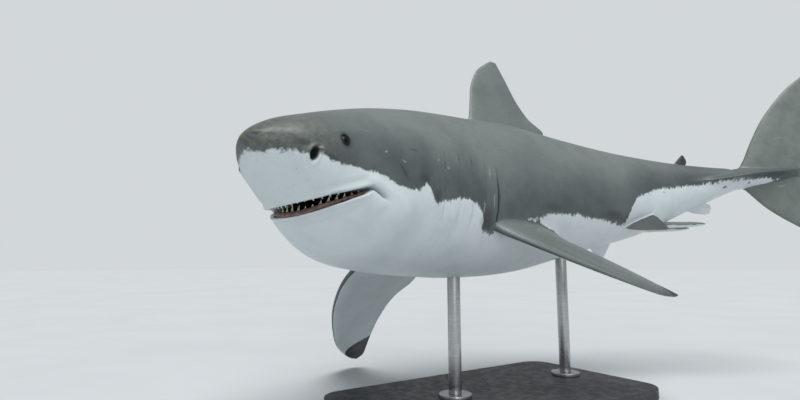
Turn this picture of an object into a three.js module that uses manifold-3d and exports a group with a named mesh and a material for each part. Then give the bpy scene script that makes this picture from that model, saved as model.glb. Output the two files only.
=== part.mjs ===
// Great white shark, life size, swimming in a tight left-hand curve on a plain display stand.
// Millimetres, +Z up. The head points to -Y and the animal's left side to +X.
// Body coordinates (s, l, z) are per cent of the total length: s from the snout tip along the
// spine, l to the animal's left of the spine, z above it.
import * as THREE from "three";
import { mergeVertices } from "three/addons/utils/BufferGeometryUtils.js";
import Module from "manifold-3d";

const wasm = await Module();
wasm.setup();

const TOTAL_LENGTH = 4300;
const PER_CENT = TOTAL_LENGTH / 100;
const CLEARANCE = 0.4;
const CLEARANCE_SHARE = CLEARANCE / PER_CENT;
const DEGREE = Math.PI / 180;

// How the spine runs: the head turned a little to the right, the body and tail swung to the left.
const HEAD_TURN = -5.5 * DEGREE;
const HEAD_TURN_END = 25;
const BODY_TURN = 60 * DEGREE;
const BODY_TURN_START = 4;
const BODY_TURN_END = 85;
const TAIL_RISE = 2.6 * DEGREE;
const TAIL_RISE_START = 55;
const TAIL_RISE_END = 90;
const BANK = -8 * DEGREE;
const PITCH = -1.2 * DEGREE;
const ANCHOR = 38;
const ANCHOR_X = -70;
const ANCHOR_Y = 100;
const AXIS_HEIGHT = 1080;

// Body stations: [s, back height, belly depth, half width, height of the widest line].
const STATIONS = [
  [0, 0, 0, 0, 0],
  [0.6, 0.85, 1.2, 1.35, 0],
  [2.5, 2.05, 2.75, 3.15, -0.2],
  [6, 3.5, 5.45, 4.65, -0.4],
  [10, 5.0, 8.2, 6.1, -0.6],
  [16, 6.9, 9.3, 7.25, -0.6],
  [23, 8.4, 9.8, 8.2, -0.6],
  [31, 9.3, 10.2, 8.65, -0.6],
  [41, 9.8, 9.95, 8.25, -0.4],
  [52, 8.2, 8.2, 6.85, -0.2],
  [64, 5.6, 6.2, 4.5, 0],
  [74, 3.25, 3.2, 2.75, 0.1],
  [81, 1.8, 1.5, 2.0, 0.1],
  [86, 1.25, 1.25, 1.1, 0.1],
  [92, 0.8, 0.8, 0.45, 0.1],
];
const BACK_POWER = 2.0;
const BELLY_POWER = 2.25;
const KEEL_STATION = 83;
const KEEL_LENGTH = 6;
const KEEL_WIDTH = 1.7;
const KEEL_THICKNESS = 0.4;
const JAW_BULGE = { s: 12.2, z: -5.4, out: 0.45, length: 2.4, height: 2.2 };
const TEMPLE_HOLLOW = { s: 8.2, z: 0.2, out: -0.22, length: 1.8, height: 1.5 };

// Mouth: the edges of the upper and lower jaws as [s, z], ruled straight across the head.
const UPPER_LIP = [
  [3.2, -4.32],
  [4.45, -4.32],
  [5.2, -4.15],
  [5.7, -3.92],
  [6.7, -3.75],
  [7.7, -3.48],
  [8.2, -3.36],
  [8.6, -3.28],
];
const LOWER_LIP = [
  [3.2, -6.4],
  [5.0, -5.6],
  [5.65, -5.32],
  [6.2, -5.05],
  [6.7, -4.85],
  [7.2, -4.55],
  [7.7, -4.22],
  [8.2, -3.82],
  [8.6, -3.4],
];
const MOUTH_START = 3.2;
const MOUTH_CORNER = 8.6;
const MOUTH_REACH = 9;
const LINING_END = 8.2;
const JAW_FLOOR = -13;
const JAW_JOINT_FOOT = [11.6, JAW_FLOOR];
const JAW_GAP = CLEARANCE_SHARE * 1.6;
const LIP_DEPTH = 0.12;
const GUM_DEPTH = 0.55;
const LOWER_GUM_HEIGHT = 0.42;
const UPPER_GUM_HEIGHT = 0.3;
const UPPER_TEETH = 10;
const LOWER_TEETH = 9;
const TOOTH_WIDTH = 0.66;
const TOOTH_HEIGHT = 0.58;
const TOOTH_DEPTH = 0.12;
const TOOTH_ROOT = 0.08;
const TOOTH_CLEARANCE = 0.06;
const LEAST_TOOTH = 0.12;
const UPPER_TOOTH_INSET = 0.21;
const LOWER_TOOTH_INSET = 0.42;
const WIDEST_TOOTH_PLACE = 4.85;
const TOOTH_SPACING_BEND = 1.35;

// Eyes and nostrils: ellipsoids on the skin with their half sizes, and how finely they are cut.
const EYE = {
  s: 6.03,
  z: 0.26,
  along: 0.47,
  up: 0.58,
  out: 0.36,
  sink: 0.14,
  slant: 0,
  round: 10,
  tall: 7,
};
const NOSTRIL = {
  s: 3.3,
  z: -1.28,
  along: 0.27,
  up: 0.58,
  out: 0.5,
  sink: 0.05,
  slant: 0.45,
  round: 8,
  tall: 6,
};
const GILL_SLITS = [18.4, 20.9, 23.3, 25.7, 28.1];
const GILL_TOP = 1.6;
const GILL_BOTTOM = -5.6;
const GILL_WIDTH = 0.16;
const GILL_DEPTH = 0.6;
const GILL_SLANT = 0.5;
const GILL_END_WIDTH = 0.35;
const GILL_ROUNDING = 3.6;
const GILL_PROUD = 0.6;

// Fins on the middle line: front and rear edges as [s, z] from the root to the tip, and the
// thickness at the root and at the tip.
const FIRST_DORSAL = {
  front: [
    [35.0, 8.0],
    [37.1, 10.8],
    [38.2, 13.6],
    [39.3, 16.5],
    [41.2, 19.2],
    [44.1, 21.2],
  ],
  rear: [
    [47.4, 8.2],
    [50.7, 9.6],
    [48.6, 12.0],
    [47.2, 14.8],
    [46.2, 18.2],
    [45.3, 21.1],
  ],
  rim: 14,
  rings: 9,
  thick: [1.5, 0.25],
  lean: 0.12,
  foot: 9.5,
};
const SECOND_DORSAL = {
  front: [[71.1, 2.8], [72.3, 4.0], [73.7, 5.1]],
  rear: [[73.3, 2.6], [74.2, 3.9], [74.0, 5.0]],
  rim: 10,
  rings: 4,
  thick: [0.45, 0.15],
  lean: 0,
  foot: 0,
};
const ANAL = {
  front: [[70.9, -2.6], [72.9, -4.0], [75.0, -4.55]],
  rear: [[73.9, -2.2], [76.0, -3.2], [75.7, -4.4]],
  rim: 10,
  rings: 4,
  thick: [0.45, 0.15],
  lean: 0,
  foot: 0,
};
const UPPER_LOBE = {
  front: [
    [81.2, 0.9],
    [83.1, 2.9],
    [85.1, 5.6],
    [88.2, 9.2],
    [92.8, 13.0],
    [96.5, 15.1],
    [100, 17.0],
  ],
  rear: [
    [92.2, 0.0],
    [92.5, 2.6],
    [93.2, 5.4],
    [94.5, 8.8],
    [96.2, 12.2],
    [98.2, 14.8],
    [100.3, 16.6],
  ],
  rim: 14,
  rings: 9,
  thick: [1.5, 0.2],
  lean: 0,
  foot: 0,
};
const LOWER_LOBE = {
  front: [
    [81.2, -0.6],
    [82.6, -2.5],
    [84.2, -4.7],
    [86.3, -6.8],
    [89.2, -9.2],
    [92.6, -12.0],
  ],
  rear: [
    [92.2, 0.9],
    [91.8, -1.6],
    [91.5, -4.0],
    [91.5, -6.6],
    [92.0, -9.4],
    [93.1, -11.9],
  ],
  rim: 14,
  rings: 7,
  thick: [1.4, 0.2],
  lean: 0,
  foot: 0,
};

// Paired fins: front and rear edges as [chordwise, spanwise] from the root to the tip, held at
// a root on the body. The tip falls by droop, and the rear edge curls down by camber.
const PECTORAL_LEFT = {
  front: [
    [0.5, -3.4],
    [0, 0],
    [0.3, 2.8],
    [1.3, 6],
    [3.5, 10],
    [6.2, 13.4],
    [9.2, 16.3],
    [12.1, 17.9],
    [13.9, 18.5],
  ],
  rear: [
    [7.5, -3.4],
    [10.0, 0],
    [11.2, 2.8],
    [11.1, 6],
    [12.3, 10],
    [13.7, 13.4],
    [14.9, 16.0],
    [15.4, 17.4],
    [14.8, 18.3],
  ],
  rim: 14,
  rings: 10,
  thick: [2.3, 0.22],
  root: [28.0, 7.7, -6.0],
  chord: [0.94, -0.25, 0.23],
  span: [0.34, 0.77, -0.54],
  size: 1.08,
  droop: 2.2,
  camber: 0.55,
  reach: 18.7,
};
const PECTORAL_RIGHT = {
  ...PECTORAL_LEFT,
  root: [25.2, -9.0, -6.5],
  chord: [0.985, -0.03, -0.155],
  span: [-0.06, -0.94, -0.33],
  size: 1.085,
  droop: 4.3,
  camber: 0.3,
};
const PELVIC_LEFT = {
  front: [[0, -1.4], [0, 0], [1.3, 2.6], [3.3, 4.9]],
  rear: [[4.3, -1.4], [5.7, 0.1], [4.9, 2.5], [3.7, 4.8]],
  rim: 12,
  rings: 5,
  thick: [0.8, 0.2],
  root: [58.3, 3.4, -5.5],
  chord: [0.95, 0.02, 0.3],
  span: [-0.05, 0.8, -0.5],
  size: 1,
  droop: 0,
  camber: 0,
  reach: 4.9,
};
const PELVIC_RIGHT = {
  ...PELVIC_LEFT,
  root: [57.3, -3.3, -5.6],
  chord: [0.97, 0, 0.16],
  span: [-0.05, -0.52, -0.83],
};
// The curl of a rear edge is whole from this part of a paired fin's reach outwards.
const CAMBER_START = 1 / 3;
const CLASPER_ROOT = [61.5, 1.5, -5.0];
const CLASPER_TIP = [73.3, 2.0, -6.1];
const CLASPER_RADIUS = 0.62;
const CLASPER_TAPER = 0.45;
const CLASPER_END_ROUNDING = 6;
const CLASPER_FULLNESS = 1.18;
const CLASPER_BLUNTNESS = 0.12;

const BASE_LENGTH = 1600;
const BASE_WIDTH = 900;
const BASE_THICKNESS = 60;
const BASE_CORNER = 120;
const BASE_BEVEL = 8;
const BASE_YAW = 26 * DEGREE;
const ROD_RADIUS = 32;
const ROD_STATIONS = [30, 50];
const COLLAR_RADIUS = 80;
const COLLAR_HEIGHT = 18;
const ROD_SINK = 1;

// Where each length of the body starts, and how finely round shapes are cut.
const SNOUT_TIP = 0.012;
const GILLS_START = 16.5;
const FRONT_START = 31;
const REAR_START = 48;
const STEM_START = 68;
const TAIL_START = 81;
const TAIL_END = 91;
const STEM_MARGIN = 0.3;
const SIDES = 32;
const HALVINGS = 30;
const FIN_THINNING = 0.7;
const FIN_REAR_THINNING = 0.56;

function smooth(t) {
  const k = Math.min(1, Math.max(0, t));
  return k * k * (3 - 2 * k);
}

// The spine is walked in small steps, so that its length is kept whatever its curve.
const SPINE_STEP = 0.25;
const SPINE_COUNT = 440;
const spine = [];

function headingAt(s) {
  const swing = BODY_TURN * smooth((s - BODY_TURN_START) / (BODY_TURN_END - BODY_TURN_START));
  return swing + HEAD_TURN * (1 - smooth(s / HEAD_TURN_END));
}

function riseAt(s) {
  return TAIL_RISE * smooth((s - TAIL_RISE_START) / (TAIL_RISE_END - TAIL_RISE_START));
}

function tangentAt(s) {
  const a = headingAt(s);
  const b = riseAt(s);
  return new THREE.Vector3(Math.sin(a) * Math.cos(b), Math.cos(a) * Math.cos(b), Math.sin(b));
}

function walkSpine() {
  const point = new THREE.Vector3();
  for (let i = 0; i <= SPINE_COUNT; i += 1) {
    spine.push(point.clone());
    point.addScaledVector(tangentAt((i + 0.5) * SPINE_STEP), SPINE_STEP);
  }
}
walkSpine();

function spinePoint(s) {
  const k = Math.min(SPINE_COUNT - 1, Math.max(0, Math.floor(s / SPINE_STEP)));
  return spine[k].clone().lerp(spine[k + 1], s / SPINE_STEP - k);
}

const placing = new THREE.Matrix4()
  .makeTranslation(ANCHOR_X, ANCHOR_Y, AXIS_HEIGHT)
  .multiply(new THREE.Matrix4().makeRotationX(PITCH))
  .multiply(new THREE.Matrix4().makeRotationY(BANK))
  .multiply(new THREE.Matrix4().makeScale(PER_CENT, PER_CENT, PER_CENT));
const anchorPoint = spinePoint(ANCHOR);

// Axes of the body at s: towards the tail, to the animal's left, and up, before it is placed.
function axesAt(s) {
  const along = tangentAt(s);
  const a = headingAt(s);
  const left = new THREE.Vector3(Math.cos(a), -Math.sin(a), 0);
  return { along, left, up: new THREE.Vector3().crossVectors(left, along) };
}

function bodyPoint(s, l, z) {
  const { left, up } = axesAt(s);
  return spinePoint(s)
    .sub(anchorPoint)
    .addScaledVector(left, l)
    .addScaledVector(up, z)
    .applyMatrix4(placing);
}

// A point kept rigid to the body at one station, for the paired fins.
function rigidPoint(s0, s, l, z) {
  const { along, left, up } = axesAt(s0);
  return spinePoint(s0)
    .sub(anchorPoint)
    .addScaledVector(along, s - s0)
    .addScaledVector(left, l)
    .addScaledVector(up, z)
    .applyMatrix4(placing);
}

// A smooth curve through table rows, taken over the square root of the key so the snout is round.
function profile(column) {
  const x = STATIONS.map((row) => Math.sqrt(row[0]));
  const y = STATIONS.map((row) => row[column]);
  const last = x.length - 1;
  const h = x.slice(1).map((v, i) => v - x[i]);
  const d = h.map((v, i) => (y[i + 1] - y[i]) / v);
  const m = y.map((v, i) => {
    if (i === 0 || i === last) return 0;
    return (d[i - 1] * h[i] + d[i] * h[i - 1]) / (h[i] + h[i - 1]);
  });
  m[0] = 1.5 * d[0] - 0.5 * m[1];
  m[last] = 1.5 * d[last - 1] - 0.5 * m[last - 1];
  return (s) => {
    const u = Math.sqrt(Math.min(92, Math.max(0, s)));
    let i = 0;
    while (i < last - 1 && u > x[i + 1]) i += 1;
    const t = (u - x[i]) / h[i];
    const r = 1 - t;
    const near = y[i] * (1 + 2 * t) * r * r + m[i] * h[i] * t * r * r;
    return near + y[i + 1] * t * t * (3 - 2 * t) + m[i + 1] * h[i] * t * t * (t - 1);
  };
}

const backHeight = profile(1);
const bellyDepth = profile(2);
const halfWidth = profile(3);
const widestLine = profile(4);

function bump(shape, s, z) {
  const a = (s - shape.s) / shape.length;
  const b = (z - shape.z) / shape.height;
  return shape.out * Math.exp(-a * a - b * b);
}

// The skin around the spine at s; grow pushes it outward, in per cent of the length.
function skin(s, angle, grow) {
  const c = Math.cos(angle);
  const q = Math.sin(angle);
  const middle = widestLine(s);
  const power = 2 / (q >= 0 ? BACK_POWER : BELLY_POWER);
  const tall = q >= 0 ? backHeight(s) - middle : bellyDepth(s) + middle;
  const z = middle + (tall + grow) * Math.sign(q) * Math.abs(q) ** power;
  const keel = ((s - KEEL_STATION) / KEEL_LENGTH) ** 2 + ((z - middle) / KEEL_THICKNESS) ** 2;
  const extra = KEEL_WIDTH * Math.exp(-keel) + bump(JAW_BULGE, s, z) + bump(TEMPLE_HOLLOW, s, z);
  const side = (halfWidth(s) + grow) * Math.abs(c) ** power + extra * Math.min(1, Math.abs(c) * 4);
  return [Math.sign(c) * side, z];
}

// Distance of the skin from the middle plane at a height z.
function sideAt(s, z) {
  const middle = widestLine(s);
  const tall = z >= middle ? backHeight(s) - middle : bellyDepth(s) + middle;
  const power = z >= middle ? BACK_POWER : BELLY_POWER;
  const share = Math.min(1, Math.abs(z - middle) / tall);
  const angle = Math.asin(share ** (power / 2));
  return skin(s, z >= middle ? angle : -angle, 0)[0];
}

// Makes a manifold solid of a closed geometry, facing out.
function solid(geometry) {
  geometry.deleteAttribute("normal");
  geometry.deleteAttribute("uv");
  const merged = mergeVertices(geometry, 1e-4);
  const triVerts = new Uint32Array(merged.index.array);
  const vertProperties = merged.attributes.position.array;
  const made = new wasm.Manifold(new wasm.Mesh({ numProp: 3, vertProperties, triVerts }));
  if (made.volume() > 0) return made;
  for (let i = 0; i < triVerts.length; i += 3) {
    [triVerts[i + 1], triVerts[i + 2]] = [triVerts[i + 2], triVerts[i + 1]];
  }
  return new wasm.Manifold(new wasm.Mesh({ numProp: 3, vertProperties, triVerts }));
}

function mapped(geometry, place) {
  const position = geometry.attributes.position;
  for (let i = 0; i < position.count; i += 1) {
    const p = place(position.getX(i), position.getY(i), position.getZ(i));
    position.setXYZ(i, p.x, p.y, p.z);
  }
  return geometry;
}

// Ring stations between two stations, closer together towards the snout.
function stationsBetween(from, to, count) {
  const list = [];
  for (let i = 0; i <= count; i += 1) {
    list.push((Math.sqrt(from) + ((Math.sqrt(to) - Math.sqrt(from)) * i) / count) ** 2);
  }
  return list;
}

// A length of the body through the given ring stations, closed at both ends.
function bodySolid(stations, grow) {
  const last = stations.length - 1;
  const tube = new THREE.CylinderGeometry(1, 1, 1, SIDES, last);
  return solid(
    mapped(tube, (x, y, z) => {
      const s = stations[Math.round((0.5 - y) * last)];
      const reach = Math.hypot(x, z);
      const [l, up] = skin(s, Math.atan2(z, x), grow);
      return bodyPoint(s, l * reach, widestLine(s) + (up - widestLine(s)) * reach);
    }),
  );
}

// The same length with its front face set back, to leave a gap to the piece before it.
function setBack(stations) {
  return [stations[0] + CLEARANCE_SHARE, ...stations.slice(1)];
}

// A solid ruled across the body from a closed outline in (s, z).
function acrossBody(outline, reach) {
  const shape = new THREE.Shape(outline.map(([s, z]) => new THREE.Vector2(s, z)));
  const slab = new THREE.ExtrudeGeometry(shape, { depth: 2 * reach, bevelEnabled: false });
  return solid(mapped(slab, (s, z, l) => bodyPoint(s, l - reach, z)));
}

function lipHeight(lip, s) {
  let i = 0;
  while (i < lip.length - 2 && s > lip[i + 1][0]) i += 1;
  const t = (s - lip[i][0]) / (lip[i + 1][0] - lip[i][0]);
  return lip[i][1] + t * (lip[i + 1][1] - lip[i][1]);
}

function splinePoint(points, t) {
  const curve = new THREE.SplineCurve(points.map(([x, y]) => new THREE.Vector2(x, y)));
  return curve.getPoint(t);
}

// A fin lofted from its root to its tip between its front and rear edges, thinner behind.
// place turns (x, y, offset, share of the chord) into a point.
function fin(shape, place) {
  const tube = new THREE.CylinderGeometry(1, 1, 1, shape.rim, shape.rings);
  const [atRoot, atTip] = shape.thick;
  return solid(
    mapped(tube, (x, y, z) => {
      const t = 0.5 - y;
      const behind = (1 - x) / 2;
      const p = splinePoint(shape.front, t).lerp(splinePoint(shape.rear, t), behind);
      const thick = atRoot + (atTip - atRoot) * t ** FIN_THINNING;
      const offset = 0.5 * z * thick * (1 - FIN_REAR_THINNING * behind);
      return place(p.x, p.y, offset, behind);
    }),
  );
}

// A fin on the middle line with its root still inside the body.
function middleLobe(shape) {
  return fin(shape, (s, z, offset) =>
    bodyPoint(s, offset - shape.lean * (z - shape.foot), z),
  );
}

function middleFin(shape) {
  return outsideBody(middleLobe(shape));
}

function pairedFin(shape) {
  const chord = new THREE.Vector3(...shape.chord).normalize();
  const span = new THREE.Vector3(...shape.span);
  span.addScaledVector(chord, -span.dot(chord)).normalize();
  const normal = new THREE.Vector3().crossVectors(chord, span);
  if (normal.z < 0) normal.negate();
  const [s, l, z] = shape.root;
  const made = fin(shape, (x, y, offset, behind) => {
    const out = Math.max(0, y / shape.reach);
    const curl = shape.camber * behind ** 2 * Math.min(1, out / CAMBER_START);
    const fall = offset - shape.droop * out ** 2 - curl;
    const p = new THREE.Vector3()
      .addScaledVector(chord, x * shape.size)
      .addScaledVector(span, y * shape.size)
      .addScaledVector(normal, fall * shape.size);
    return rigidPoint(s, s + p.x, l + p.y, z + p.z);
  });
  return outsideBody(made);
}

// Axes on the skin at (s, z) of one side: towards the tail, up along the skin, and outward.
function onSkin(s, z, side) {
  const here = bodyPoint(s, side * sideAt(s, z), z);
  const along = bodyPoint(s + 0.2, side * sideAt(s + 0.2, z), z).sub(here).normalize();
  const above = bodyPoint(s, side * sideAt(s, z + 0.2), z + 0.2).sub(here);
  above.addScaledVector(along, -above.dot(along)).normalize();
  const out = new THREE.Vector3().crossVectors(along, above).multiplyScalar(side);
  return { here, along, above, out };
}

// An ellipsoid set on the skin, its centre sunk below it. slant turns it, grow makes it larger.
function knob(shape, side, grow) {
  const { here, along, above, out } = onSkin(shape.s, shape.z, side);
  const ball = new THREE.SphereGeometry(1, shape.round, shape.tall);
  const turn = shape.slant;
  return solid(
    mapped(ball, (x, y, z) => {
      const a = x * (shape.along * PER_CENT + grow);
      const b = z * (shape.up * PER_CENT + grow);
      const c = y * (shape.out * PER_CENT + grow) - shape.sink * PER_CENT;
      return here
        .clone()
        .addScaledVector(along, a * Math.cos(turn) - b * Math.sin(turn))
        .addScaledVector(above, a * Math.sin(turn) + b * Math.cos(turn))
        .addScaledVector(out, c);
    }),
  );
}

function gillCutter(s, side) {
  const blade = new THREE.BoxGeometry(1, 1, 1, 1, 3, 1);
  return solid(
    mapped(blade, (x, y, z) => {
      const height = GILL_BOTTOM + (GILL_TOP - GILL_BOTTOM) * (y + 0.5);
      const bow = GILL_SLANT * (y + 0.5) - 0.5 * GILL_SLANT * (1 - 4 * y * y);
      const belly = Math.sqrt(1 - GILL_ROUNDING * y * y);
      const taper = GILL_END_WIDTH + (1 - GILL_END_WIDTH) * belly;
      const station = s + bow + x * GILL_WIDTH * taper;
      const depth = z > 0 ? GILL_PROUD : -GILL_DEPTH * taper;
      return bodyPoint(station, side * (sideAt(station, height) + depth), height);
    }),
  );
}

// Where the rim of the mouth lies at a distance l from the middle plane, inset from the skin.
function rimStation(lip, l, inset) {
  let low = MOUTH_START;
  let high = MOUTH_CORNER;
  for (let i = 0; i < HALVINGS; i += 1) {
    const s = (low + high) / 2;
    const z = lipHeight(lip, s);
    const under = -z < bellyDepth(s);
    if (under && sideAt(s, z) - inset > Math.abs(l)) high = s;
    else low = s;
  }
  return (low + high) / 2;
}

// One row of teeth along a jaw. rise is +1 for teeth pointing up and -1 for teeth pointing down.
function toothRow(lip, base, rise, count, inset, offset) {
  const teeth = [];
  for (let i = -count; i <= count; i += 1) {
    const share = (i + offset) / (count + 0.5);
    const bend = Math.sin(share * TOOTH_SPACING_BEND) / Math.sin(TOOTH_SPACING_BEND);
    const l = WIDEST_TOOTH_PLACE * bend;
    const s = rimStation(lip, l, inset);
    const gap = lipHeight(UPPER_LIP, s) - lipHeight(LOWER_LIP, s);
    const size = Math.min(1, gap / 1.4) * (1 - 0.25 * share * share);
    const room = gap - LOWER_GUM_HEIGHT - UPPER_GUM_HEIGHT - TOOTH_CLEARANCE;
    const tall = Math.min(TOOTH_HEIGHT * size, room);
    if (tall < LEAST_TOOTH) continue;
    const next = rimStation(lip, l + 0.1, inset);
    const foot = bodyPoint(s, l, lipHeight(lip, s) + rise * base);
    const top = bodyPoint(s, l, lipHeight(lip, s) + rise * (base + 1)).sub(foot).normalize();
    const wide = bodyPoint(next, l + 0.1, lipHeight(lip, s) + rise * base).sub(foot).normalize();
    const deep = new THREE.Vector3().crossVectors(top, wide).normalize();
    const spike = new THREE.ConeGeometry(1, 1, 4, 1);
    teeth.push(
      solid(
        mapped(spike, (x, y, z) =>
          foot
            .clone()
            .addScaledVector(wide, x * 0.5 * TOOTH_WIDTH * size * PER_CENT)
            .addScaledVector(deep, z * TOOTH_DEPTH * TOOTH_WIDTH * PER_CENT)
            .addScaledVector(top, ((y + 0.5) * tall - (y > 0 ? 0 : TOOTH_ROOT)) * PER_CENT),
        ),
      ),
    );
  }
  return teeth;
}

// The largest piece of a solid, without any pocket shut inside it.
function largest(made) {
  return made.decompose().sort((a, b) => b.volume() - a.volume())[0];
}

const HEAD = stationsBetween(SNOUT_TIP, GILLS_START, 16);
const GILLS = stationsBetween(GILLS_START, FRONT_START, 6);
const FRONT = stationsBetween(FRONT_START, REAR_START, 6);
const REAR = stationsBetween(REAR_START, STEM_START, 7);
const STEM = stationsBetween(STEM_START, TAIL_START, 6);
const END = stationsBetween(TAIL_START, TAIL_END, 5);
const ALL = [HEAD, GILLS, FRONT, REAR, STEM, END].flatMap((list, i) => (i ? list.slice(1) : list));
const wholeBody = bodySolid(ALL, CLEARANCE_SHARE);

function outsideBody(shape) {
  return shape.subtract(wholeBody);
}

// Head, lower jaw and mouth.
const lastLower = LOWER_LIP[LOWER_LIP.length - 1];
const jawFloorFront = [MOUTH_START, JAW_FLOOR];
const underUpperJaw = acrossBody([...UPPER_LIP, JAW_JOINT_FOOT, jawFloorFront], MOUTH_REACH);
const lowerJawSpace = acrossBody(
  [
    ...LOWER_LIP.slice(0, -1),
    [lastLower[0] - JAW_GAP, lastLower[1]],
    [JAW_JOINT_FOOT[0] - JAW_GAP, JAW_FLOOR],
    jawFloorFront,
  ],
  MOUTH_REACH,
);
let head = bodySolid(HEAD, 0);
const lowerJaw = head.intersect(lowerJawSpace);
head = head.subtract(underUpperJaw);
for (const side of [1, -1]) {
  head = head.subtract(knob(EYE, side, CLEARANCE));
  head = head.subtract(knob(NOSTRIL, side, 0));
}

// Each jaw's own space moved up or down gives surfaces that stay parallel to its lip.
function raised(space, height) {
  return space.translate([0, 0, height * PER_CENT]);
}

const frontOfCorner = acrossBody(
  [[MOUTH_START, 0], [LINING_END, 0], [LINING_END, JAW_FLOOR], jawFloorFront],
  MOUTH_REACH,
);
const lipInside = bodySolid(HEAD, -LIP_DEPTH);
const gumInside = bodySolid(HEAD, -GUM_DEPTH);
const liningInside = bodySolid(HEAD, -GUM_DEPTH - CLEARANCE_SHARE);
const rim = lipInside.subtract(gumInside);
const openMouth = raised(underUpperJaw, -CLEARANCE_SHARE)
  .subtract(raised(lowerJawSpace, CLEARANCE_SHARE))
  .intersect(frontOfCorner);
const mouthLining = liningInside.intersect(openMouth);
const gumSpace = rim.intersect(openMouth);
let lowerGum = gumSpace.intersect(raised(lowerJawSpace, LOWER_GUM_HEIGHT));
let upperGum = gumSpace.subtract(raised(underUpperJaw, -UPPER_GUM_HEIGHT));
upperGum = upperGum.subtract(raised(lowerJawSpace, LOWER_GUM_HEIGHT + CLEARANCE_SHARE));

const gillRegion = bodySolid(setBack(GILLS), 0);
let gills = gillRegion;
for (const station of GILL_SLITS) {
  for (const side of [1, -1]) {
    gills = gills.subtract(gillCutter(station, side));
  }
}

const trunkFront = bodySolid(setBack(FRONT), 0);
const trunkRear = bodySolid(setBack(REAR), 0);
const tailStem = bodySolid(setBack(STEM), 0);

const dorsalFin = middleFin(FIRST_DORSAL);
const secondDorsalFin = middleFin(SECOND_DORSAL);
const analFin = middleFin(ANAL);
const tailEnd = bodySolid(setBack(END), 0);
const stemEnd = bodySolid([...STEM.slice(0, -1), TAIL_START + CLEARANCE_SHARE], STEM_MARGIN);
const caudalFin = tailEnd
  .add(middleLobe(UPPER_LOBE))
  .add(middleLobe(LOWER_LOBE))
  .subtract(stemEnd);

function clasper(side) {
  const rod = new THREE.CylinderGeometry(1, 1, 1, 10, 7);
  return solid(
    mapped(rod, (x, y, z) => {
      const t = 0.5 - y;
      const end = Math.sqrt(Math.max(0, 1 - t ** CLASPER_END_ROUNDING));
      const share = Math.max(CLASPER_BLUNTNESS, Math.min(1, CLASPER_FULLNESS * end));
      const r = CLASPER_RADIUS * (1 - CLASPER_TAPER * t) * share;
      const s = CLASPER_ROOT[0] + (CLASPER_TIP[0] - CLASPER_ROOT[0]) * t;
      const l = CLASPER_ROOT[1] + (CLASPER_TIP[1] - CLASPER_ROOT[1]) * t;
      const up = CLASPER_ROOT[2] + (CLASPER_TIP[2] - CLASPER_ROOT[2]) * t;
      return bodyPoint(s, side * l + x * r, up + z * r);
    }),
  );
}

const pectoralLeft = pairedFin(PECTORAL_LEFT);
const pectoralRight = pairedFin(PECTORAL_RIGHT);
const pelvicLeft = pairedFin(PELVIC_LEFT);
const pelvicRight = pairedFin(PELVIC_RIGHT);
const claspers = [1, -1].map((side) => outsideBody(clasper(side)));

// Display stand: a flat base and two upright rods that end on the belly.
function baseOutline() {
  const shape = new THREE.Shape();
  const a = BASE_WIDTH / 2 - BASE_BEVEL;
  const b = BASE_LENGTH / 2 - BASE_BEVEL;
  const r = BASE_CORNER;
  shape.moveTo(a - r, -b);
  shape.absarc(a - r, -b + r, r, -Math.PI / 2, 0, false);
  shape.absarc(a - r, b - r, r, 0, Math.PI / 2, false);
  shape.absarc(-a + r, b - r, r, Math.PI / 2, Math.PI, false);
  shape.absarc(-a + r, -b + r, r, Math.PI, 1.5 * Math.PI, false);
  return shape;
}
const slab = new THREE.ExtrudeGeometry(baseOutline(), {
  depth: BASE_THICKNESS - 2 * BASE_BEVEL,
  bevelThickness: BASE_BEVEL,
  bevelSize: BASE_BEVEL,
  bevelSegments: 1,
  curveSegments: 5,
});
slab.translate(0, 0, BASE_BEVEL);
slab.rotateZ(-BASE_YAW);
const base = solid(slab);

function upright(radius, foot, height, sides, centre) {
  const post = new THREE.CylinderGeometry(radius, radius, height, sides);
  post.rotateX(Math.PI / 2);
  post.translate(centre.x, centre.y, foot + height / 2);
  return solid(post);
}

const COLLAR_FOOT = BASE_THICKNESS + CLEARANCE;
const ROD_FOOT = COLLAR_FOOT + COLLAR_HEIGHT + CLEARANCE;

function standRod(station) {
  const top = bodyPoint(station, 0, ROD_SINK - bellyDepth(station));
  return outsideBody(upright(ROD_RADIUS, ROD_FOOT, top.z - ROD_FOOT, 24, top));
}

function standCollar(station) {
  const centre = bodyPoint(station, 0, ROD_SINK - bellyDepth(station));
  return upright(COLLAR_RADIUS, COLLAR_FOOT, COLLAR_HEIGHT, 32, centre);
}

const upperTeeth = toothRow(UPPER_LIP, UPPER_GUM_HEIGHT, -1, UPPER_TEETH, UPPER_TOOTH_INSET, 0);
const lowerTeeth = toothRow(LOWER_LIP, LOWER_GUM_HEIGHT, 1, LOWER_TEETH, LOWER_TOOTH_INSET, 0.5);
for (const tooth of upperTeeth) {
  upperGum = upperGum.add(tooth.subtract(gumInside));
}
for (const tooth of lowerTeeth) {
  lowerGum = lowerGum.add(tooth.subtract(gumInside));
}

const group = new THREE.Group();
group.name = "great_white_shark";

function add(name, made, colour, roughness, metalness) {
  const mesh = made.getMesh();
  const geometry = new THREE.BufferGeometry();
  geometry.setAttribute("position", new THREE.BufferAttribute(mesh.vertProperties, 3));
  geometry.setIndex(new THREE.BufferAttribute(mesh.triVerts, 1));
  const flat = geometry.toNonIndexed();
  flat.computeVertexNormals();
  const material = new THREE.MeshStandardMaterial({ color: colour, roughness, metalness });
  const node = new THREE.Mesh(flat, material);
  node.name = name;
  group.add(node);
}

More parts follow.
